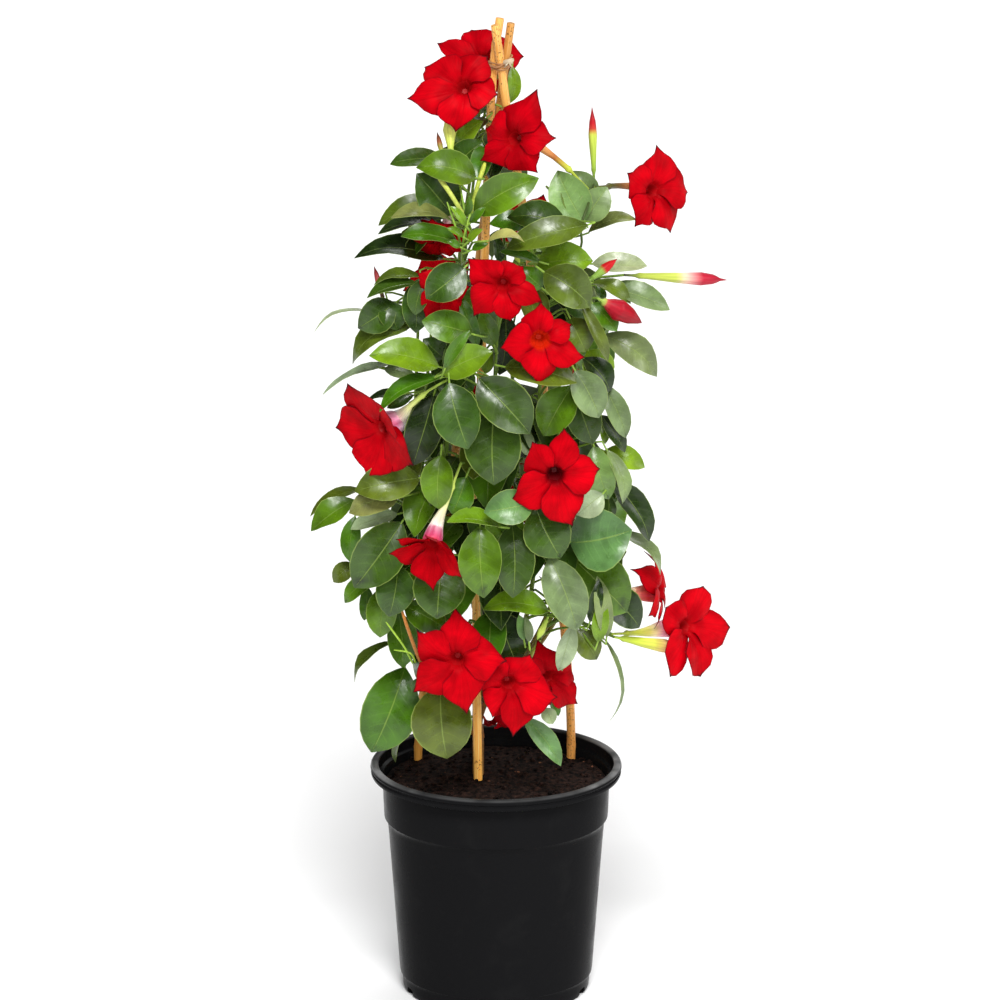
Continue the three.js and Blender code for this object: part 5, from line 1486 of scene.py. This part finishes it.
@dataclass
class Trumpet:
    """One open flower.

    `throat` is its mouth's (column, row), `face` the azimuth to the right and the elevation that it faces,
    and `stalk` the end of its stalk as (column, row, layer). Its petals' tips are given as (column, row), or
    else by their radii and a spin in degrees. The tips lie `reflex` behind the mouth, or `bends` has
    that for each. The petals' sides bulge by about `swell`, they part at `notch` of their radius, and
    `ruffle` is how uneven they are. `heart` is the colour at the mouth. The
    tube is `stout` times as wide and `stretch` times as long as usual, with `stripes` of that strength. The
    stalk passes through `via`, `codes` are the tube's colours by millimetres from the mouth, and `behind`
    turns the flower half round the plant's axis.
    """

    throat: tuple[float, float]
    layer: float
    face: tuple[float, float]
    stalk: tuple[float, float, float]
    tips: list[tuple[float, float]] | None = None
    radii: tuple[float, ...] = ()
    spin: float = 0
    colour: int = RED
    reflex: float = 4
    swell: float = 0.08
    notch: float = 0.77
    ruffle: float = 1
    bends: tuple[float, ...] = ()
    heart: int = 0xA4060E
    stout: float = 1
    stretch: float = 1
    stripes: float = 1
    via: list[tuple[float, float, float]] = field(default_factory=list)
    codes: list[tuple[float, int]] = field(default_factory=lambda: PINK_TO_LIME)
    behind: bool = False

    def __post_init__(self) -> None:
        """Lay the tube's path and find the petals' tips."""
        a, e = (math.radians(angle) for angle in self.face)
        self.out = vector(math.sin(a) * math.cos(e), -math.cos(a) * math.cos(e), math.sin(e))
        self.mouth = GRID.layered(*self.throat, self.layer)
        way = [GRID.layered(*point) for point in [*self.via, self.stalk]]
        axis = np.eye(3)[int(np.argmin(np.abs(self.out)))]
        side = unit(np.cross(-self.out, axis))
        self.normal = np.cross(-self.out, side)
        self.binormal = np.cross(-self.out, self.normal)
        self.reach = self.find_tips()
        if self.behind:
            half = vector(-1, -1, 1)
            self.mouth, self.out, way = self.mouth * half, self.out * half, [point * half for point in way]
            self.normal, self.binormal = self.normal * half, self.binormal * half
        shares = (0, 0.5, 1) if self.via else (0, 0.5, 1, 1.7)
        self.path = Path([*[self.mouth - share * THROAT_DEPTH * self.out for share in shares], *way])
        self.end = way[-1]

    def find_tips(self) -> list[tuple[float, float]]:
        """Return the petals' tips as (radius, angle) pairs about the mouth, by rising angle."""
        if self.tips is None:
            spin = math.radians(self.spin)
            return [(radius, spin + 2 * math.pi * i / PETALS) for i, radius in enumerate(self.radii)]
        reach = []
        plane = self.mouth - self.reflex * self.out
        for column, row in self.tips:
            way = GRID.on_plane(column, row, plane, self.out) - self.mouth
            x, y = np.dot(way, self.normal), np.dot(way, self.binormal)
            reach.append((math.hypot(x, y), math.atan2(y, x) % (2 * math.pi)))
        return sorted(reach, key=lambda pair: pair[1])

    @property
    def scale(self) -> float:
        """The flower's size as a share of a full-grown one's."""
        return min(1.0, sum(radius for radius, _ in self.reach) / PETALS / 36)

    def outline(self, order: int, u: np.ndarray, swell: float) -> tuple[np.ndarray, np.ndarray]:
        """Return a petal's edge: nearly straight from its tip to the notches that it shares with the next ones.

        Args:
            order: which petal.
            u: places across it, from -1 to 1.
            swell: how much its sides bulge.

        Returns:
            At each place, the angle from the petal's middle and the edge's radius.
        """
        radius, angle = self.reach[order]
        halves, notches = [], []
        for step in (-1, 1):
            other, way = self.reach[(order + step) % PETALS]
            halves.append((step * (way - angle)) % (2 * math.pi) / 2)
            notches.append(self.notch * (0.4 * max(radius, other) + 0.6 * min(radius, other)))
        half, notch = np.where(u < 0, halves[0], halves[1]), np.where(u < 0, notches[0], notches[1])
        theta = np.abs(u) * (half + math.radians(11))
        edge = radius * notch * np.sin(half) / (radius * np.sin(theta) + notch * np.sin(half - theta))
        edge = edge * (1 + swell * np.sin(math.pi * np.clip(theta / half, 0, 1)))
        edge = edge * (1 - 0.3 * np.clip((theta - half) / math.radians(11), 0, 1))
        spike = 0.1 * (1 - np.clip(1 - np.abs(u) / 0.13, 0, 1))
        return np.sign(u) * theta, edge * (1 - spike)

    def petal(self, sheet: Sheet, order: int, swirl: float, draw: random.Random) -> bpy.types.Object:
        """Bend a copy of the petal's template.

        Args:
            sheet: the template.
            order: which petal.
            swirl: how far the petals are wound at the throat, in radians.
            draw: the flower's random draws.

        Returns:
            The copy.
        """
        radius, angle = self.reach[order]
        u, v, size = sheet.u, sheet.v, self.scale
        theta, edge = self.outline(order, u, self.swell + draw.uniform(-0.03, 0.04))
        hook = draw.choice((-1, 1)) * draw.uniform(0.04, 0.11)
        turn = angle + theta - swirl * (1 - smooth(v, 0.1, 1))
        turn = turn + hook * smooth(v, 0.86, 1) * np.clip(1 - np.abs(u) / 0.3, 0, 1)
        mouth = THROAT * size
        limb = np.clip((v - 0.22) / 0.78, 0, 1)
        rho = np.interp(v, [0, 0.07, 0.14, 0.22], [0.4 * mouth, 0.6 * mouth, 0.8 * mouth, mouth])
        rho = np.where(v > 0.22, mouth + (edge - mouth) * limb, rho)
        height = size * np.interp(v, [0, 0.07, 0.14, 0.22, 0.31], [-13, -9, -5, -1.5, 0.4])
        reflex = self.reflex + draw.uniform(-2, 2.5) if not self.bends else self.bends[order]
        far = np.clip((rho - 12 * size) / max(6.0, radius - 12 * size), 0, 1.2)
        height = height - reflex * (far**2 if reflex > 0 else far)
        fold = 2.8 * u * smooth(v, 0.12, 0.4) + 2.8 * (1 - u * u) * smooth(v, 0.2, 0.6)
        fold = fold + draw.uniform(1.0, 2.8) * np.sin(draw.uniform(2.5, 5) * u + draw.uniform(0, 6)) * v**2
        fold = fold + 0.7 * np.sin(9 * u + draw.uniform(0, 6)) * v**4
        fold = fold - 4 * draw.uniform(0.3, 1.1) * np.exp(-((u / 0.12) ** 2)) * v * (1 - v)
        height = height + self.ruffle * fold
        height = height - self.ruffle * draw.uniform(-2, 6) * np.clip(v - 0.7, 0, 1) * 3.3 * np.clip(1 - np.abs(u) / 0.5, 0, 1)
        height = height + np.where(sheet.under > 0, -0.25, 0.25)
        way = np.outer(np.cos(turn), self.normal) + np.outer(np.sin(turn), self.binormal)
        corners = self.mouth + rho[:, None] * way + np.outer(height, self.out)
        tint = vector(*linear(self.colour)) * draw.uniform(0.86, 1.08)
        # Painted shade in the tint: darker towards the throat and the rim, and on the side tucked under the next petal;
        # a soft wave then lightens and darkens it across.
        shade = np.interp(v, [0.2, 0.34, 0.66, 0.9, 1], [0.84, 0.93, 1.06, 1.0, 0.88])
        shade = shade * (1 - 0.22 * smooth(-u, 0.3, 1) * smooth(v, 0.15, 0.5))
        shade = shade * (1 + 0.1 * np.sin(draw.uniform(3, 6) * u + draw.uniform(0, 6)) * np.sin(5 * v + draw.uniform(0, 6)))
        core = (1 - smooth(v, 0.18, 0.32))[:, None]
        colours = (1 - core) * shade[:, None] * tint + core * vector(*linear(self.heart))
        return sheet.copy("petal", corners, colours, sheet.under)

    def tube(self) -> bpy.types.Object:
        """Model the throat, the tube and the stalk as one closed body."""
        size, length = self.scale, self.path.length
        inside = [(0.3, 13.5), (2.2, 13.4), (3.6, 9.6), (5.2, 5.6), (6.8, 2.9), (7.4, 2.3)]
        outside = [(8.4, 2.9), (8.6, 5), (8.4, 9), (7.6, 14), (6.5, 19.5), (5.2, 26), (4.1, 32), (3.3, 38)]
        outside = [(radius * self.stout, along * self.stretch) for radius, along in outside]
        last = outside[-1][1]
        lean = max(last + 6, 0.72 * length)
        stalk = [(2.5, 0.5 * (last + lean)), (2.4, lean - 1), (3.0, lean + 1), (2.5, lean + 3), (1.4, lean + 6),
                 (1.15, lean + 9), (1.1, 0.5 * (lean + 9 + length)), (1.1, length)]
        if length < last + 28:
            stalk = [(1.8, 0.78 * length), (1.5, 0.85 * length), (1.2, 0.92 * length), (1.1, length)]
            outside = [(radius, along * min(1.0, 0.7 * length / last)) for radius, along in outside]
        section = [*inside, *outside, *stalk]
        sized = len(inside) + len(outside)
        radii = np.array([radius * (size if order < sized else 1) for order, (radius, _) in enumerate(section)])
        alongs = np.array([along for _, along in section])
        alongs[:len(inside)] *= size
        places = [place * self.stretch for place, _ in self.codes]
        table = np.array([linear(code) for _, code in self.codes])
        tints = np.stack([np.interp(alongs, places, table[:, i]) for i in range(3)], axis=1)
        heart = vector(*linear(self.heart))
        # Painted shade: the inside of the throat is a little darker part-way down.
        tints[:len(inside)] = np.outer([0.9, 0.9, 0.8, 0.85, 0.95, 1], heart)
        shape = Tube.of(20, len(section))
        colours = tints[shape.ring]
        striped = np.interp(alongs / self.stretch, [3, 6, 14, 24], [0.4, 0.8, 0.65, 0])[shape.ring] * (
            (np.arange(len(shape.ring)) % 20 % 3 == 0) & (shape.ring >= len(inside)))
        colours = colours + self.stripes * striped[:, None] * (vector(*linear(0xA81E50)) - colours)
        return shape.along("tube", self.path, alongs / length, radii, colours, self.normal)

    def build(self, name: str, sheet: Sheet, petal_finish: bpy.types.Material, tube_finish: bpy.types.Material) -> None:
        """Model the flower's petals and its tube.

        Args:
            name: the flower's CAD node.
            sheet: the petal's template.
            petal_finish: the petal material.
            tube_finish: the tube material.
        """
        draw = random.Random(name)
        swirl = math.radians(draw.uniform(8, 16))
        petals = [self.petal(sheet, order, swirl, draw) for order in range(PETALS)]
        joined(name + "_petals", petals, petal_finish, [name], 60)
        joined(name + "_tube", [self.tube()], tube_finish, [name], 60)


@dataclass
class Bud:
    """One bud, wound to a point.

    `base` and `tip` are (column, row), `layers` the layer of each, `radius` its greatest one, `fattest` the
    share of its length where it has that, and `codes` its colours from base to tip.
    """

    base: tuple[float, float]
    tip: tuple[float, float]
    layers: tuple[float, float]
    radius: float
    fattest: float
    codes: list[tuple[float, int]]

    def __post_init__(self) -> None:
        """Lay the bud's path."""
        self.start = GRID.layered(*self.base, self.layers[0])
        self.path = Path([self.start, GRID.layered(*self.tip, self.layers[1])])

    def build(self, name: str, finish: bpy.types.Material) -> None:
        """Model the bud.

        Args:
            name: its CAD node.
            finish: the tube material.
        """
        shares = np.linspace(0, 1, 28)
        shares[-2] = 0.985
        f, r = self.fattest, self.radius
        radii = np.interp(shares, [0, 0.1, 0.14, 0.2, 0.5 * (0.2 + f), f, 0.5 * (f + 1), 0.92, 1],
                          [1.1, 1.15, 0.25 * r + 1.3, 0.3 * r + 0.9, 0.72 * r + 0.2, r, 0.72 * r, 0.28 * r, 0.15])
        tube = Tube.of(20, 28)
        twist = 1 + 0.07 * np.sin(5 * tube.angle + 5 * shares[tube.ring]) * smooth(shares[tube.ring], 0.3, 0.5)
        centres, normals, binormals = self.path.frames(shares)
        out = np.cos(tube.angle)[:, None] * normals[tube.ring] + np.sin(tube.angle)[:, None] * binormals[tube.ring]
        table = np.array([linear(code) for _, code in self.codes])
        places = [place for place, _ in self.codes]
        tints = np.stack([np.interp(shares, places, table[:, i]) for i in range(3)], axis=1)[tube.ring]
        bud = tube.copy(name, centres[tube.ring] + (radii[tube.ring] * twist)[:, None] * out, tints)
        joined(name + "_furled", [bud], finish, [name], 60)


FLOWERS = [
    Trumpet((484, 62), -0.75, (-10, 25), (482, 128, -0.3), [(472, 28), (435, 48), (452, 68), (505, 92), (524, 54)],
            colour=0xB0000E, swell=0.15, notch=0.86),
    Trumpet((463, 86), 0.85, (-8, 32), (460, 208, 0.6), [(487, 57), (426, 66), (408, 103), (458, 131), (498, 98)],
            via=[(449, 134, 0.55), (455, 165, 0.6)], codes=LIME, notch=0.87, stout=1.8, stretch=1.6),
    Trumpet((513, 139), 0.95, (-25, 8), (588, 189, 0.55),
            [(541, 91), (483, 130), (484, 162), (537, 174), (557, 140)], colour=0xB0000E, notch=0.83, swell=0.01,
            via=[(543, 149, 0.75), (564, 165, 0.65)], stout=1.2,
            codes=[(0, 0xC01020), (26, 0xF0C080), (40, 0xE0A060), (54, 0x9E4A28), (64, 0xA89234), (75, 0xB4C040),
                   (100, 0x9AAE3C)]),
    Trumpet((654, 191), 0.9, (32, 5), (595, 187, 0.55), [(659, 145), (627, 175), (633, 226), (672, 231), (691, 190)],
            swell=0.06, notch=0.87,
            codes=[(0, 0xC01020), (14, 0xD89070), (28, 0xE0B088), (36, 0xB88050), (42, 0x86482E), (64, 0x5A5A2C)]),
    Trumpet((441, 240), 0.62, (-20, -34), (459, 218, 0.5), [(407, 236), (424, 253), (455, 251), (472, 232), (436, 214)],
            notch=0.9),
    Trumpet((445, 288), 0.9, (-10, 0), (470, 300, 0.4), [(449, 259), (419, 270), (424, 318), (458, 320), (470, 286)]),
    Trumpet((502, 284), 1.1, (-5, 5), (498, 330, 0.5), [(525, 266), (468, 257), (470, 314), (512, 322), (545, 298)]),
    Trumpet((540, 340), 1.1, (5, 3), (548, 372, 0.5), [(543, 301), (499, 344), (541, 385), (583, 362), (571, 322)],
            heart=0xC82408),
    Trumpet((380, 429), 1.05, (-44, -8), (447, 380, 0.85), [(348, 383), (335, 423), (371, 477), (414, 464), (391, 418)],
            reflex=-8, swell=0.08, notch=0.9, ruffle=0.5, stout=1.5, stretch=1.15,
            via=[(408, 408, 0.95), (428, 391, 0.9)],
            codes=[(0, 0xC81430), (9, 0xF09CC0), (17, 0xFFE4F0), (22, 0xFFFFFF), (36, 0xFCFAE2), (45, 0xE0E098),
                   (58, 0xB8CC60), (84, 0x86A63A)]),
    Trumpet((555, 475), 1.12, (3, -3), (560, 430, 0.6), [(568, 427), (529, 443), (513, 503), (567, 529), (600, 466)],
            swell=0.1, heart=0x5A0208),
    Trumpet((431, 546), 1.12, (-12, -30), (461, 463, 0.85),
            [(388, 556), (431, 589), (463, 576), (446, 544), (397, 538)], reflex=-20, ruffle=0.7, stout=1.08, stretch=1.15,
            via=[(447, 500, 1.0)],
            codes=[(0, 0xC81430), (8, 0xD86088), (17, 0xF2B8CA), (24, 0xFFF6E4), (39, 0xFAF6C4), (52, 0xC8D468),
                   (84, 0x86A63A)]),
    Trumpet((457, 660), 1.1, (-3, 0), (470, 620, 0.4), [(457, 606), (414, 632), (411, 692), (470, 713), (507, 656)],
            swell=0.04),
    Trumpet((509, 684), 1, (8, -3), (505, 640, 0.3), [(532, 655), (481, 670), (488, 714), (516, 736), (556, 699)],
            swell=0.06, notch=0.9),
    Trumpet((549, 678), 0.75, (25, -8), (540, 640, 0.3),
            [(536, 642), (523, 660), (540, 706), (574, 708), (573, 667)], colour=0xA4000C,
            swell=0.04, notch=0.95),
    Trumpet((498, 722), 0.4, (-10, -60), (503, 700, 0.2), radii=(17,) * 5, spin=30, colour=0x98000E),
    Trumpet((660, 593), 0.9, (77, 4), (602, 600, 0.7), radii=(33, 38, 34, 42, 28), spin=4,
            bends=(8, 6, 23, 17, 6), ruffle=0.5, swell=0.08, notch=0.74, stripes=0.3, via=[(624, 594, 0.8)],
            codes=[(0, 0xC80A18), (10, 0xD01824), (17, 0xE87870), (24, 0xF4C8A8), (32, 0xF0DCB8), (60, 0xB8C060)]),
    Trumpet((687, 627), 0.9, (44, 14), (612, 634, 0.8), [(698, 585), (663, 610), (665, 675), (700, 678), (727, 630)],
            swell=0.2, notch=0.78, stout=1.3, stretch=1.3, via=[(645, 632, 0.85)],
            codes=[(0, 0xD01828), (17, 0xE0507C), (26, 0xF0A8B8), (31, 0xF4E4B0), (38, 0xDCD870), (48, 0xC4CC48),
                   (90, 0x9AAE3C)]),
    Trumpet((462, 318), 1.1, (-15, 5), (470, 345, 0.6), radii=(38, 35, 39, 36, 37), spin=10, behind=True),
    Trumpet((556, 372), 1.08, (20, 0), (540, 400, 0.6), radii=(36, 35, 37, 36, 34), spin=50, behind=True),
    Trumpet((425, 430), 1.08, (-25, -5), (450, 460, 0.6), radii=(39, 36, 40, 35, 38), spin=35, behind=True),
    Trumpet((540, 500), 1.08, (15, -5), (530, 465, 0.6), radii=(41, 38, 36, 40, 39), spin=20, behind=True),
    Trumpet((455, 590), 1.08, (-10, -15), (468, 555, 0.6), radii=(40, 39, 35, 38, 37), spin=62, behind=True),
]
BUDS = [
    Bud((594, 181), (592, 107), (0.55, 0.6), 3.8, 0.62,
        [(0, 0x4F6A2C), (0.2, 0x8CA83A), (0.62, 0xB4C24C), (0.7, 0xB0392A), (0.78, 0xA8101C), (1, 0x7A0A14)]),
    Bud((589, 281), (617, 259), (0.8, 1), 4.2, 0.55,
        [(0, 0x6B8A36), (0.45, 0x86A848), (0.55, 0xAC1418), (0.9, 0xB40812), (1, 0x700A10)]),
    Bud((624, 275), (727, 280), (0.8, 0.8), 5.6, 0.74,
        [(0, 0x3A3C28), (0.1, 0x6A7A34), (0.16, 0x9EAC42), (0.5, 0xB2BC50), (0.57, 0xE0C0A4), (0.65, 0xD08484),
         (0.73, 0xAC1830), (1, 0x900A20)]),
    Bud((597, 298), (642, 323), (0.9, 1.1), 9.5, 0.45,
        [(0, 0x7E9A3C), (0.14, 0x9CB44E), (0.18, 0xB44840), (0.25, 0xA01224), (0.6, 0x960418), (0.9, 0x860616),
         (1, 0x700A14)]),
    Bud((384, 302), (374, 266), (0.7, 0.7), 2.6, 0.6,
        [(0, 0x5A4A34), (0.4, 0x7A5A40), (0.55, 0x9A3030), (1, 0x6A1A20)]),
    Bud((444, 162), (437, 132), (0.6, 0.7), 2.4, 0.6,
        [(0, 0x7E9A34), (0.45, 0x9A9A3A), (0.65, 0x8A4A28), (1, 0x301814)]),
    Bud((548, 617), (537, 640), (0.8, 0.9), 3.2, 0.6, [(0, 0x9AB848), (0.6, 0xC2D45C), (1, 0x8AA840)]),
    Bud((614, 637), (676, 648), (0.75, 0.8), 6.0, 0.8,
        [(0, 0x9CB440), (0.3, 0xB8C83C), (0.6, 0xC8CC50), (0.8, 0xE8C080), (1, 0xD84838)]),
]


@dataclass
class Blooms:
    """All the flowers and buds, on twigs of the shoots."""

    shoots: Shoots

    def build(self) -> None:
        """Model the flowers and the buds, and grow their twigs."""
        sheet = Sheet([-1, -0.9, -0.77, -0.6, -0.4, -0.2, -0.07, 0, 0.07, 0.2, 0.4, 0.6, 0.77, 0.9, 1],
                      [0, 0.07, 0.14, 0.22, 0.31, 0.42, 0.54, 0.66, 0.78, 0.9, 0.97, 1])
        petal_finish, tube_finish = PetalFinish().make(), TubeFinish().make()
        for order, flower in enumerate(FLOWERS):
            flower.build(f"flower_{order + 1:02d}", sheet, petal_finish, tube_finish)
            self.twig(flower.end)
        for order, bud in enumerate(BUDS):
            bud.build(f"bud_{order + 1:02d}", tube_finish)
            self.twig(bud.start)
        sheet.drop()

    def twig(self, end: np.ndarray) -> None:
        """Grow a twig from the nearest shoot to the end of a flower's or a bud's stalk."""
        shoot, spot = self.shoots.root_of(end)
        shoot.stalk(spot, end, None, (1.5, 1.15), (0x5E7A30, 0x6E8A38))


# ---- Studio ----


@dataclass
class Studio:
    """The pale floor, the soft lights and the camera."""

    floor_size: float = 40

    def build(self) -> None:
        """Set up the floor, the lights and the camera."""
        deselect()
        bpy.ops.mesh.primitive_plane_add(size=self.floor_size)
        floor = bpy.context.object
        floor.name = "studio_floor"
        floor.data.materials.append(FloorFinish().make())
        floor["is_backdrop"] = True
        world = bpy.data.worlds.new("studio_world")
        world.use_nodes = True
        sky = world.node_tree.nodes["Background"]
        sky.inputs[0].default_value = (1, 1, 1, 1)
        sky.inputs[1].default_value = 0.28
        world.cycles_visibility.glossy = False
        bpy.context.scene.world = world
        self.sun("key_light", (0.06, -1.0, 1.15), 2.7, 20)
        self.sun("front_light", (0.15, -1.0, 0.3), 1.2, 30, False)
        self.sun("side_light", (1.2, -0.25, 0.6), 0.9, 30)
        self.sun("back_light", (0.3, 1.0, 0.9), 0.8, 40)
        bpy.context.scene.view_settings.view_transform = "Standard"
        self.camera()

    def sun(self, name: str, way: tuple[float, float, float], strength: float, spread: float,
            glossy: bool = True) -> None:
        """Add a soft light from afar.

        Args:
            name: its name.
            way: the direction that it stands in.
            strength: its strength.
            spread: its apparent width in degrees.
            glossy: whether it shows in gloss.
        """
        light = bpy.data.lights.new(name, "SUN")
        light.energy, light.angle = strength, math.radians(spread)
        lamp = bpy.data.objects.new(name, light)
        lamp.visible_glossy = glossy
        lamp.rotation_euler = Vector(way).to_track_quat("Z", "Y").to_euler()
        bpy.context.scene.collection.objects.link(lamp)

    def camera(self) -> None:
        """Add the camera, at the front grid's eye."""
        lens = bpy.data.cameras.new("front_camera")
        lens.lens, lens.sensor_width = 245.45, 36
        camera = bpy.data.objects.new("front_camera", lens)
        camera.location = GRID.eye * MM
        camera.rotation_euler = (math.pi / 2 - GRID.tilt, 0, 0)
        bpy.context.scene.collection.objects.link(camera)
        bpy.context.scene.camera = camera


def main() -> None:
    """Build the plant in its pot, and the studio round it."""
    logging.basicConfig(level=logging.INFO, format="%(name)s: %(message)s")
    NurseryPot().build()
    PottingMix().build()
    bamboo = BambooFinish().make()
    for cane in CANES:
        cane.build(bamboo)
    RaffiaTie(CANES).build()
    shoots = Shoots()
    Blooms(shoots).build()
    shoots.build()
    for template in Tube.made.values():
        template.drop()
    Studio().build()
    boxes = {"cad": cad_box, "visual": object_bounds()}
    {name: [list(corner) for corner in box] for name, box in boxes.items()}


if __name__ == "__main__":
    main()
